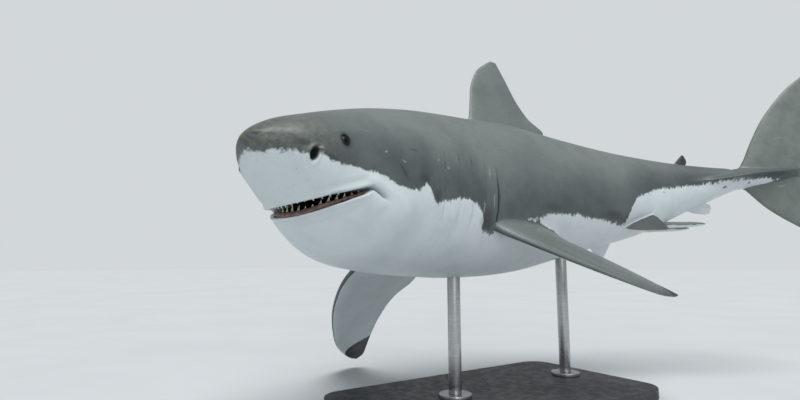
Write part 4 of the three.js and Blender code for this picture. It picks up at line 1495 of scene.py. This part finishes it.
# Dark spots and scars on the left side, with painted shade behind the pectoral fin's root: (s, z, half
# length, half height, slope of s against z, strength).
DARK_MARKS_AND_PAINTED_SHADE = (
    (0.25, 0.2, 0.3, 0.22, 0, 0.7), (0.75, 0.05, 0.3, 0.16, 0, 0.6), (1.1, -0.5, 0.2, 0.12, 0, 0.6),
    (1.65, 0.65, 0.5, 0.16, 0.5, 0.7), (1.7, 0.0, 0.3, 0.1, 0, 0.5), (2.4, -0.55, 0.7, 0.3, 0, 0.5),
    (4.7, -1.35, 0.7, 0.35, -1, 0.5), (12.1, -1.7, 0.28, 0.95, -0.7, 0.6), (14.0, 0.6, 1.0, 0.12, 2, 0.5),
    (15.2, -2.0, 1.1, 0.7, 0, 0.4), (17.3, -3.5, 0.7, 1.0, 0, 0.5), (26.4, -5.0, 1.6, 1.6, 0, 0.6),
    (31.0, -3.9, 2.8, 1.6, 0, 0.25), (41, -3.2, 3.0, 0.7, 0, 0.35), (55.8, -3.9, 2.4, 0.8, 0, 0.5),
    (77.6, -1.1, 0.5, 0.22, 0, 0.8), (81.9, -0.9, 0.4, 0.2, 0, 0.8), (66.5, -1.1, 0.4, 0.14, 0, 0.5),
)
# Pale scars and spots on the left side, with painted highlights behind the nostril and beside the last two
# gill slits, given as above.
PALE_MARKS_AND_PAINTED_HIGHLIGHTS = (
    (3.75, -0.8, 0.36, 0.15, -1.2, 0.9), (10.1, -0.2, 0.26, 0.1, 0, 0.8),
    (12.3, -0.75, 0.4, 0.1, -0.8, 0.8), (17.8, 0.1, 0.3, 0.13, 0, 0.5), (19.4, -0.5, 0.3, 0.2, 0, 0.6),
    (25.5, -4.0, 0.12, 0.9, 0.1, 0.9), (27.45, -3.2, 0.16, 1.0, 0.1, 0.8), (27.1, -0.2, 0.3, 0.8, 0.2, 0.5),
    (8.6, 1.5, 0.9, 0.05, 3, 0.5), (30.4, 1.6, 0.5, 0.07, 4, 0.35), (45.5, 3.0, 0.9, 0.06, -5, 0.35),
    (87.3, -2.0, 0.9, 0.12, 2, 0.8), (89.5, 5.5, 1.4, 0.08, 4, 0.6), (90.5, 2.5, 1.1, 0.08, -4, 0.6),
)


def marks_and_painted_light(tree, place, rows):
    """The strongest of several ovals at each point."""
    strongest = 0.0
    for s, z, half_s, half_z, slope, strength in rows:
        spot = place_group(tree, "spot", Place=place, Centre=(s, 0, z), Slope=slope,
                           Half=(half_s, MARK_DEPTH, half_z))
        strongest = maths(tree, "MAXIMUM", strongest, times(tree, spot, strength))
    return strongest


def pores(tree, place, snout):
    """Small dark pits scattered over the snout."""
    cells = add_node(tree, "TexVoronoi", {"Vector": place, "Scale": PORE_SPACING})
    dots = opposite(tree, zone(tree, cells["Distance"], "round_pore"))
    return times(tree, dots, snout, patches(tree, place, "pore_patches"))


def border(tree, place, s, tone):
    """The tone made uneven: a clean line on the head, a fine comb of streaks further back."""
    comb_share = scaled(tree, zone(tree, s, "streaked_border"), BORDER_SHARE, HEAD_COMB)
    uneven = ((BORDER_COMB, comb_share), (BORDER_WOBBLE, BORDER_SHARE), (BORDER_SWELL, BORDER_SHARE))
    for (stretch, scale, detail, roughness), share in uneven:
        cloud = noise(tree, stretched(tree, place, stretch), scale, detail, roughness)
        tone = scaled(tree, maths(tree, "SUBTRACT", cloud, 0.5), share, tone)
    return tone


def back_colour(tree, looks, at, place, tone, snout, tail):
    """Painted shade low on the flank rising to painted top light up the back, with clouds, olive mottles
    and a greener tail, on the tail fin partly painted sunlight.
    """
    # Painted top light: the back turns from its dark grey low on the flank to the paler grey up the back,
    # as if lit from above.
    lift = times(tree, zone(tree, tone, "painted_light_up_the_back"), SHARES["painted_light_up_the_back"])
    clouds = patches(tree, at, "skin_clouds")
    light = maths(tree, "MULTIPLY_ADD", clouds, SHARES["clouds"], lift, clamp=True)
    olive = scaled(tree, snout, SHARES["olive_on_snout"], SHARES["olive"])
    return layered(
        tree, mix(tree, light, looks.back_dark, looks.back_pale_and_painted_lit),
        (looks.back_dark, patches(tree, at, "skin_speckle"), SHARES["speckle"]),
        (looks.olive, patches(tree, place, "olive_mottles"), olive),
        # Paler, greener tail fin and claspers, on the tail fin partly painted sunlight.
        (looks.tail, tail, SHARES["tail"]),
        (looks.back_dark, tail, patches(tree, at, "tail_mottles"), SHARES["mottles"]),
    )


def fin_colour(tree, looks, colour, tip):
    """Fine lines along the fins, and their black ends and tips."""
    fin = attribute(tree, "fin")
    _, span, small_fin = split(tree, fin)
    on_fin = zone(tree, span, "on_fin")
    rays = patches(tree, stretched(tree, fin, RAY_STRETCH), "fin_rays")
    grooves = patches(tree, stretched(tree, fin, GROOVE_STRETCH), "fin_grooves")
    return layered(
        tree, colour,
        (looks.tail, rays, on_fin, SHARES["fin_lines"]),
        (looks.back_dark, grooves, on_fin, SHARES["fin_lines"]),
        (BLACK, zone(tree, span, "fin_end"), SHARES["fin_end"]),
        (BLACK, zone(tree, tip, "fin_tip")),
        (BLACK, small_fin, SHARES["small_fin"]),
    )


def skin_material(looks):
    """A satin hide: grey back with painted top light, white belly, spots and scars with painted shade and
    highlights, painted shade in the gill slits, eye sockets and nostrils, and the inside of the mouth.
    """
    material, tree, shader = new_material("shark_skin")
    at = object_place(tree)
    place = attribute(tree, "place")
    s, l, _ = split(tree, place)
    tone, mouth, tip = split(tree, attribute(tree, "paint"))
    # Painted shade in the gill slits (slit) and round the eyes, nostrils and mouth furrow (hollow); the
    # pale tail fin and claspers (tail), the tail fin's paleness partly painted sunlight.
    slit, hollow, tail = split(tree, attribute(tree, "marks_and_painted_light"))
    left = zone(tree, l, "left_side")
    snout = opposite(tree, zone(tree, s, "past_snout"))

    tone = border(tree, place, s, tone)
    back = back_colour(tree, looks, at, place, tone, snout, tail)
    back = fin_colour(tree, looks, back, tip)
    shaded = times(tree, patches(tree, at, "belly_clouds"), SHARES["belly_clouds"])
    belly = mix(tree, shaded, looks.belly, looks.belly_shade)
    uneven = noise(tree, place, MARK_NOISE, detail=2.0, roughness=0.5, output="Color")
    ragged = vector_maths(tree, "MULTIPLY_ADD", uneven, RAGGED, CENTRED)
    ragged = vector_maths(tree, "ADD", place, ragged)
    flesh = mix(tree, patches(tree, place, "mouth_flesh"), looks.mouth, BLACK)
    colour = layered(
        tree, mix(tree, zone(tree, tone, "dark_side"), belly, back),
        # Dark spots and scars, with painted shade behind the pectoral fin's root.
        (BLACK, marks_and_painted_light(tree, ragged, DARK_MARKS_AND_PAINTED_SHADE), left),
        # Pale scars and spots, with painted highlights behind the nostril and beside the last two gill
        # slits.
        (looks.scar_and_painted_highlight, marks_and_painted_light(tree, ragged, PALE_MARKS_AND_PAINTED_HIGHLIGHTS), left),
        (BLACK, pores(tree, place, snout), SHARES["pores"]),
        # Painted shade in the gill slits, eye sockets, nostrils and mouth furrow.
        (BLACK, maths(tree, "MAXIMUM", slit, hollow)),
        (flesh, zone(tree, mouth, "mouth")),
    )

    rough = scaled(tree, patches(tree, at, "skin_dullness"), *DULLNESS["skin"])
    creases = noise(tree, stretched(tree, place, CREASE_STRETCH), 1.0, detail=3.0, roughness=0.55)
    throat = times(tree, zone(tree, s, "gills_start"), opposite(tree, zone(tree, s, "gills_end")))
    height = scaled(tree, times(tree, creases, throat), SHARES["creases"], grain(tree, at, "skin"))
    # The painted shade of the eye sockets, nostrils and furrow also dulls the skin there and takes away its
    # coat.
    dress(tree, shader, Base_Color=colour, Roughness=scaled(tree, hollow, HOLLOW_DULLNESS, rough),
          Coat_Weight=times(tree, opposite(tree, hollow), SKIN_COAT), Coat_Roughness=0.25,
          Normal=bumps(tree, height, GRAINS["skin"][2]))
    return material


def eye_material(looks):
    """A black pupil in a very dark blue iris, under a clear cornea."""
    material, tree, shader = new_material("shark_eye")
    ball = attribute(tree, "ball")
    reach = vector_maths(tree, "LENGTH", vector_maths(tree, "MULTIPLY", ball, (1, 1, 0)))
    ring = times(tree, zone(tree, reach, "past_pupil"), opposite(tree, zone(tree, reach, "past_iris")))
    iris = mix(tree, patches(tree, ball, "iris"), BLACK, looks.iris)
    dress(tree, shader, Base_Color=mix(tree, ring, looks.pupil, iris), Roughness=0.35,
          Specular_IOR_Level=0.1, Coat_Weight=0.06, Coat_Roughness=0.06,
          Normal=grained(tree, ball, "eye"))
    return material


def tooth_material(looks):
    """Ivory crowns, yellowish and dull at the foot."""
    material, tree, shader = new_material("shark_tooth")
    crown = attribute(tree, "crown", "Fac")
    at = object_place(tree)
    ivory = mix(tree, patches(tree, at, "tooth"), looks.tooth, looks.tooth_root)
    colour = mix(tree, zone(tree, crown, "crown"), looks.tooth_root, ivory)
    dress(tree, shader, Base_Color=colour, Roughness=scaled(tree, crown, *DULLNESS["tooth"]),
          Normal=grained(tree, at, "tooth"))
    return material


def steel_material(looks):
    """Brushed steel: fine rings round the rods, with duller patches."""
    material, tree, shader = new_material("stand_steel")
    at = object_place(tree)
    lines = grain(tree, stretched(tree, at, BRUSH_STRETCH), "brush_lines")
    colour = mix(tree, zone(tree, lines, "brush_line"), looks.steel_dark, looks.steel)
    rough = scaled(tree, patches(tree, at, "steel_dullness"), *DULLNESS["steel"])
    dress(tree, shader, Base_Color=colour, Metallic=1.0, Roughness=rough,
          Normal=bumps(tree, lines, GRAINS["brush_lines"][2]))
    return material


def patchy_material(name, colours, patch, grain_name, roughness):
    """A grained surface of one colour with patches of a second."""
    material, tree, shader = new_material(name)
    at = object_place(tree)
    colour = mix(tree, patches(tree, at, patch), *colours)
    dress(tree, shader, Base_Color=colour, Roughness=roughness, Normal=grained(tree, at, grain_name))
    return material


def gum_material(looks):
    """Dull brown flesh with darker patches."""
    return patchy_material("shark_gum", (looks.gum, looks.gum_dark), "gum", "gum", roughness=0.42)


def floor_material(looks):
    """Pale matt floor paint."""
    colours = (looks.floor, looks.floor_shade)
    return patchy_material("floor_paint", colours, "floor_shade", "floor", roughness=0.85)


def board_material(looks):
    """Satin paint with a slight orange-peel surface and dustier patches."""
    material, tree, shader = new_material("stand_paint")
    at = object_place(tree)
    colour = mix(tree, patches(tree, at, "board_dust"), looks.board, looks.board_worn)
    rough = scaled(tree, patches(tree, at, "board_dullness"), *DULLNESS["board"])
    dress(tree, shader, Base_Color=colour, Roughness=rough, Normal=grained(tree, at, "board"))
    return material


# The stand and the stage.

BASE_SIZE = (0.9, 1.6, 0.06)
BASE_CORNER = 0.12
BASE_YAW = math.radians(-26)
ROD_RADIUS = 0.032
ROD_STATIONS = (30, 50)
COLLAR_RADIUS = 0.08
COLLAR_HEIGHT = 0.018
ROD_BEVEL = 0.001
ROD_SINK = 1
CLEARANCE = 0.001
CORNER_SEGMENTS = 16
BOARD_SEGMENTS = 5
ROD_SIDES = 72
ROD_SEGMENTS = 4


def bevel_edges(bm, edges, width, segments):
    """Rounds the edges."""
    bmesh.ops.bevel(
        bm, geom=edges, offset=width, offset_type="OFFSET", segments=segments, profile=0.5,
        affect="EDGES", material=-1, clamp_overlap=True
    )


def base_board(name, bevel):
    """A rounded board lying on the floor."""
    bm = bmesh.new()
    bmesh.ops.create_cube(bm, size=1)
    bmesh.ops.scale(bm, verts=bm.verts, vec=BASE_SIZE)
    upright_edges = [e for e in bm.edges if abs(e.verts[0].co.z - e.verts[1].co.z) > LEVEL]
    bevel_edges(bm, upright_edges, BASE_CORNER, CORNER_SEGMENTS)
    half = BASE_SIZE[2] / 2
    rims = [e for e in bm.edges if abs(abs(e.verts[0].co.z + e.verts[1].co.z) / 2) > half - LEVEL]
    bevel_edges(bm, rims, bevel, BOARD_SEGMENTS)
    bmesh.ops.rotate(bm, verts=bm.verts, matrix=Matrix.Rotation(BASE_YAW, 3, "Z"))
    bmesh.ops.translate(bm, verts=bm.verts, vec=(0, 0, half))
    close_and_face_out(bm)
    return new_object(name, bm)


def upright(name, radius, foot, top, centre, rim_bevel):
    """A round bar from foot to top."""
    bm = bmesh.new()
    bmesh.ops.create_cone(
        bm, cap_ends=True, segments=ROD_SIDES, radius1=radius, radius2=radius, depth=top - foot
    )
    rims = [e for e in bm.edges if abs(e.verts[0].co.z - e.verts[1].co.z) < LEVEL]
    bevel_edges(bm, rims, rim_bevel, ROD_SEGMENTS)
    middle = (centre[0], centre[1], (foot + top) / 2)
    bmesh.ops.translate(bm, verts=bm.verts, vec=middle)
    close_and_face_out(bm)
    for face in bm.faces:
        face.smooth = abs(face.normal.z) < 0.5
    return new_object(name, bm)


CAMERA_AT = (0.932, -2.553, 0.706)
CAMERA_AZIMUTH = math.radians(30.494)
CAMERA_ELEVATION = math.radians(7.213)
CAMERA_ROLL = math.radians(-0.126)
CAMERA_LENS = 22.545
SENSOR_WIDTH = 36
OVERHEAD_AT = (0.35, -0.2, 1)
SIDE_AT = (1, -1.2, 0.7)
SIDE_SHARE = 0.2
FLOOR_HALF = 60


def aim(azimuth, elevation):
    """The direction of a view, turned from +Y and raised from level."""
    flat = math.cos(elevation)
    return Vector((-math.sin(azimuth) * flat, math.cos(azimuth) * flat, math.sin(elevation)))


def add_camera():
    """The scene's camera."""
    data = bpy.data.cameras.new("camera")
    data.lens = CAMERA_LENS
    data.sensor_width = SENSOR_WIDTH
    camera = bpy.data.objects.new("camera", data)
    turn = aim(CAMERA_AZIMUTH, CAMERA_ELEVATION).to_track_quat("-Z", "Y").to_matrix()
    turn = turn @ Matrix.Rotation(CAMERA_ROLL, 3, "Z")
    camera.matrix_world = Matrix.Translation(CAMERA_AT) @ turn.to_4x4()
    bpy.context.scene.collection.objects.link(camera)
    bpy.context.scene.camera = camera


def add_sun(name, place, strength, softness):
    """A light from one direction, equally strong all over the floor."""
    data = bpy.data.lights.new(name, "SUN")
    data.angle = softness
    data.energy = strength
    light = bpy.data.objects.new(name, data)
    light.matrix_world = (-Vector(place)).to_track_quat("-Z", "Y").to_matrix().to_4x4()
    bpy.context.scene.collection.objects.link(light)


def room(looks):
    """Even light from all round, and the pale room that is seen behind the floor."""
    world = bpy.data.worlds.new("room")
    world.use_nodes = True
    tree = world.node_tree
    lighting = tree.nodes["Background"]
    dress(tree, lighting, Color=looks.backdrop, Strength=looks.world)
    seen = add_node(tree, "Background", {"Color": looks.backdrop, "Strength": looks.shown})[0]
    seen_directly = add_node(tree, "LightPath", {})["Is Camera Ray"]
    both = add_node(tree, "MixShader", {0: seen_directly, 1: lighting.outputs[0], 2: seen})[0]
    tree.links.new(both, tree.nodes["World Output"].inputs["Surface"])
    return world


# What a user would change.


def colour_property(name, description, default):
    return FloatVectorProperty(
        name=name, description=description, default=default, size=4, min=0, max=1,
        subtype="COLOR"
    )


def length_property(name, description, default, low, high):
    return FloatProperty(
        name=name, description=description, default=default, min=low, max=high, unit="LENGTH"
    )


def strength_property(name, description, default):
    return FloatProperty(name=name, description=description, default=default, min=0)


def count_property(name, description, default):
    return IntProperty(name=name, description=description, default=default, min=3, max=31)


class SkinLooks(bpy.types.PropertyGroup):
    """Colours of the shark's skin"""

    # Painted top light: the paler grey where the back is painted as lit from above, also the colour of its
    # clouds.
    back_pale_and_painted_lit: colour_property("Back, light", "Grey along the top of the back", (0.145, 0.172, 0.165, 1))
    # The dark end of the painted shade low on the flanks, also the colour of speckles, tail mottles and fin
    # grooves.
    back_dark: colour_property("Back, dark", "Dark grey low on the flanks", (0.047, 0.062, 0.066, 1))
    olive: colour_property("Mottles", "Olive mottles of the snout and tail", (0.19, 0.19, 0.135, 1))
    # Paler greenish grey of the tail, partly painted sunlight, and of the lighter fin rays.
    tail: colour_property("Tail", "Greenish grey of the tail and fin rays", (0.20, 0.235, 0.21, 1))
    belly: colour_property("Belly", "White of the belly", (0.62, 0.68, 0.70, 1))
    belly_shade: colour_property("Belly, shaded", "Greyer clouds of the belly", (0.49, 0.56, 0.59, 1))
    # Pale scars, and painted highlights behind the nostril and beside the last gill slits.
    scar_and_painted_highlight: colour_property("Scars", "Pale old scratches and spots", (0.30, 0.33, 0.32, 1))
    mouth: colour_property("Mouth", "Dark red inside the mouth", (0.075, 0.018, 0.014, 1))


class EyeLooks(bpy.types.PropertyGroup):
    """Colours of the eyes"""

    pupil: colour_property("Pupil", "Black of the pupil and the rim", (0.002, 0.002, 0.003, 1))
    iris: colour_property("Iris", "Very dark blue of the iris", (0.014, 0.022, 0.034, 1))


class MouthLooks(bpy.types.PropertyGroup):
    """Colours of the gums, and the number and height of the teeth"""

    gum: colour_property("Gums", "Dull brown of the gums", (0.19, 0.12, 0.105, 1))
    gum_dark: colour_property("Gums, dark", "Darker patches of the gums", (0.085, 0.048, 0.042, 1))
    tooth: colour_property("Teeth", "Ivory of the teeth", (0.68, 0.66, 0.58, 1))
    tooth_root: colour_property("Tooth roots", "Yellowish foot of the teeth", (0.36, 0.30, 0.21, 1))
    upper_count: count_property("Upper teeth", "Teeth across the upper jaw", 23)
    lower_count: count_property("Lower teeth", "Teeth across the lower jaw", 21)
    upper_height: length_property(
        "Upper tooth height", "Height of the tallest upper teeth", 0.0145, 0.004, 0.05
    )
    lower_height: length_property(
        "Lower tooth height", "Height of the tallest lower teeth", 0.025, 0.004, 0.05
    )


class StandLooks(bpy.types.PropertyGroup):
    """Finishes of the display stand, and how its edges are rounded"""

    board: colour_property("Board", "Painted base board", (0.028, 0.030, 0.033, 1))
    board_worn: colour_property("Board, worn", "Dustier patches of the board", (0.045, 0.047, 0.05, 1))
    steel: colour_property("Steel", "Brushed steel of the rods", (0.56, 0.57, 0.58, 1))
    steel_dark: colour_property("Steel, dark", "Darker brush lines", (0.40, 0.41, 0.42, 1))
    board_bevel: length_property(
        "Board edge", "Rounding of the base board's edges", 0.008, 0.001, 0.02
    )
    collar_bevel: length_property(
        "Collar edge", "Rounding of the collars' edges", 0.003, 0.0005, 0.008
    )


class StageLooks(bpy.types.PropertyGroup):
    """The floor and light of the studio"""

    floor: colour_property("Floor", "Pale floor", (0.60, 0.625, 0.64, 1))
    floor_shade: colour_property("Floor, shade", "Slightly darker patches", (0.57, 0.595, 0.61, 1))
    backdrop: colour_property("Backdrop", "Pale room round the floor", (0.72, 0.755, 0.78, 1))
    key: strength_property("Main light", "Strength of the soft light from above", 2.45)
    softness: FloatProperty(
        name="Softness", description="How wide the lights look from the floor",
        default=math.radians(40), min=0, max=math.pi, unit="ROTATION"
    )
    world: strength_property("Room light", "Strength of the light from all round", 0.5)
    shown: strength_property("Room shown", "Brightness of the room behind the floor", 0.9)


def finish_piece(piece, material, slot, *nodes):
    """Gives a piece its material, hangs it under the root and hides the solids that it stands for."""
    piece.data.materials.clear()
    piece.data.materials.append(material)
    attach(piece, "root")
    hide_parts(*nodes)


FLESH_NODES = (
    "head", "lower_jaw", "mouth_lining", "gill_region", "trunk_front", "trunk_rear", "tail_stem",
    "caudal_fin", "first_dorsal_fin", "second_dorsal_fin", "anal_fin", "pectoral_fin_left",
    "pectoral_fin_right", "pelvic_fin_left", "pelvic_fin_right", "clasper_left", "clasper_right",
)


class AddSkin(bpy.types.Operator):
    """One skin over the head, body, tail and every fin"""

    bl_idname = "shark.add_skin"
    bl_label = "Skin"

    def execute(self, context):
        finish_piece(build_skin(), skin_material(context.scene.shark_skin), "skin", *FLESH_NODES)
        return {"FINISHED"}


class AddEyes(bpy.types.Operator):
    """Both eyes"""

    bl_idname = "shark.add_eyes"
    bl_label = "Eyes"

    def execute(self, context):
        material = eye_material(context.scene.shark_eyes)
        for side, word in ((1, "left"), (-1, "right")):
            finish_piece(eyeball(f"{word}_eye", side), material, "eye", f"eye_{word}")
        return {"FINISHED"}


class AddMouth(bpy.types.Operator):
    """Gums and rows of teeth of both jaws"""

    bl_idname = "shark.add_mouth"
    bl_label = "Gums and teeth"

    def execute(self, context):
        looks = context.scene.shark_mouth
        gums, teeth = gum_material(looks), tooth_material(looks)
        rows = {
            "upper": (looks.upper_count, looks.upper_height),
            "lower": (looks.lower_count, looks.lower_height),
        }
        for word, (count, tall) in rows.items():
            node = f"{word}_gum_and_teeth"
            row = tooth_row(f"{word}_teeth", JAWS[word], count, tall)
            finish_piece(gum(f"{word}_gum", JAWS[word], count), gums, "mouth_flesh", node)
            finish_piece(row, teeth, "teeth", node)
        return {"FINISHED"}


class AddStand(bpy.types.Operator):
    """The base board and the two rods with their collars"""

    bl_idname = "shark.add_stand"
    bl_label = "Display stand"

    def execute(self, context):
        looks = context.scene.shark_stand
        paint, steel = board_material(looks), steel_material(looks)
        board = base_board("base_board", looks.board_bevel)
        finish_piece(board, paint, "stand_paint", "stand_base")
        foot = BASE_SIZE[2] + CLEARANCE
        for word, station in zip(("front", "rear"), ROD_STATIONS):
            top = body_point(station, 0, ROD_SINK - belly_depth(station))
            collar_top = foot + COLLAR_HEIGHT
            bevel = looks.collar_bevel
            collar = upright(f"{word}_collar", COLLAR_RADIUS, foot, collar_top, top, bevel)
            rod_foot = collar_top + CLEARANCE
            rod = upright(f"{word}_rod", ROD_RADIUS, rod_foot, top[2], top, ROD_BEVEL)
            finish_piece(collar, steel, "stand_steel", f"stand_collar_{word}")
            finish_piece(rod, steel, "stand_steel", f"stand_rod_{word}")
        return {"FINISHED"}


class AddStage(bpy.types.Operator):
    """Floor, lights and camera"""

    bl_idname = "shark.add_stage"
    bl_label = "Stage"

    def execute(self, context):
        looks = context.scene.shark_stage
        bm = bmesh.new()
        bmesh.ops.create_grid(bm, x_segments=1, y_segments=1, size=FLOOR_HALF)
        floor = new_object("floor", bm)
        floor.data.materials.append(floor_material(looks))
        context.scene.world = room(looks)
        add_sun("overhead", OVERHEAD_AT, looks.key, looks.softness)
        add_sun("side", SIDE_AT, looks.key * SIDE_SHARE, looks.softness)
        add_camera()
        context.scene.view_settings.view_transform = "Standard"
        return {"FINISHED"}


class SharkPanel(bpy.types.Panel):
    """Lists the pieces of the shark in the sidebar"""

    bl_idname = "VIEW3D_PT_great_white"
    bl_label = "Great white shark"
    bl_space_type = "VIEW_3D"
    bl_region_type = "UI"
    bl_category = "Great white"

    def draw(self, context):
        scene = context.scene
        for looks in LOOKS:
            box = self.layout.box()
            box.label(text=looks)
            for name in LOOKS[looks].__annotations__:
                box.prop(getattr(scene, looks), name)
        for operator in OPERATORS:
            self.layout.operator(operator.bl_idname)


LOOKS = {
    "shark_skin": SkinLooks,
    "shark_eyes": EyeLooks,
    "shark_mouth": MouthLooks,
    "shark_stand": StandLooks,
    "shark_stage": StageLooks,
}
OPERATORS = (AddSkin, AddEyes, AddMouth, AddStand, AddStage)
CLASSES = (*LOOKS.values(), *OPERATORS, SharkPanel)


def register():
    for cls in CLASSES:
        bpy.utils.register_class(cls)
    for name, looks in LOOKS.items():
        setattr(bpy.types.Scene, name, PointerProperty(type=looks))


def unregister():
    for name in LOOKS:
        delattr(bpy.types.Scene, name)
    for cls in reversed(CLASSES):
        bpy.utils.unregister_class(cls)


def main():
    register()
    bpy.ops.shark.add_skin()
    bpy.ops.shark.add_eyes()
    bpy.ops.shark.add_mouth()
    bpy.ops.shark.add_stand()
    bpy.ops.shark.add_stage()


if __name__ == "__main__":
    main()
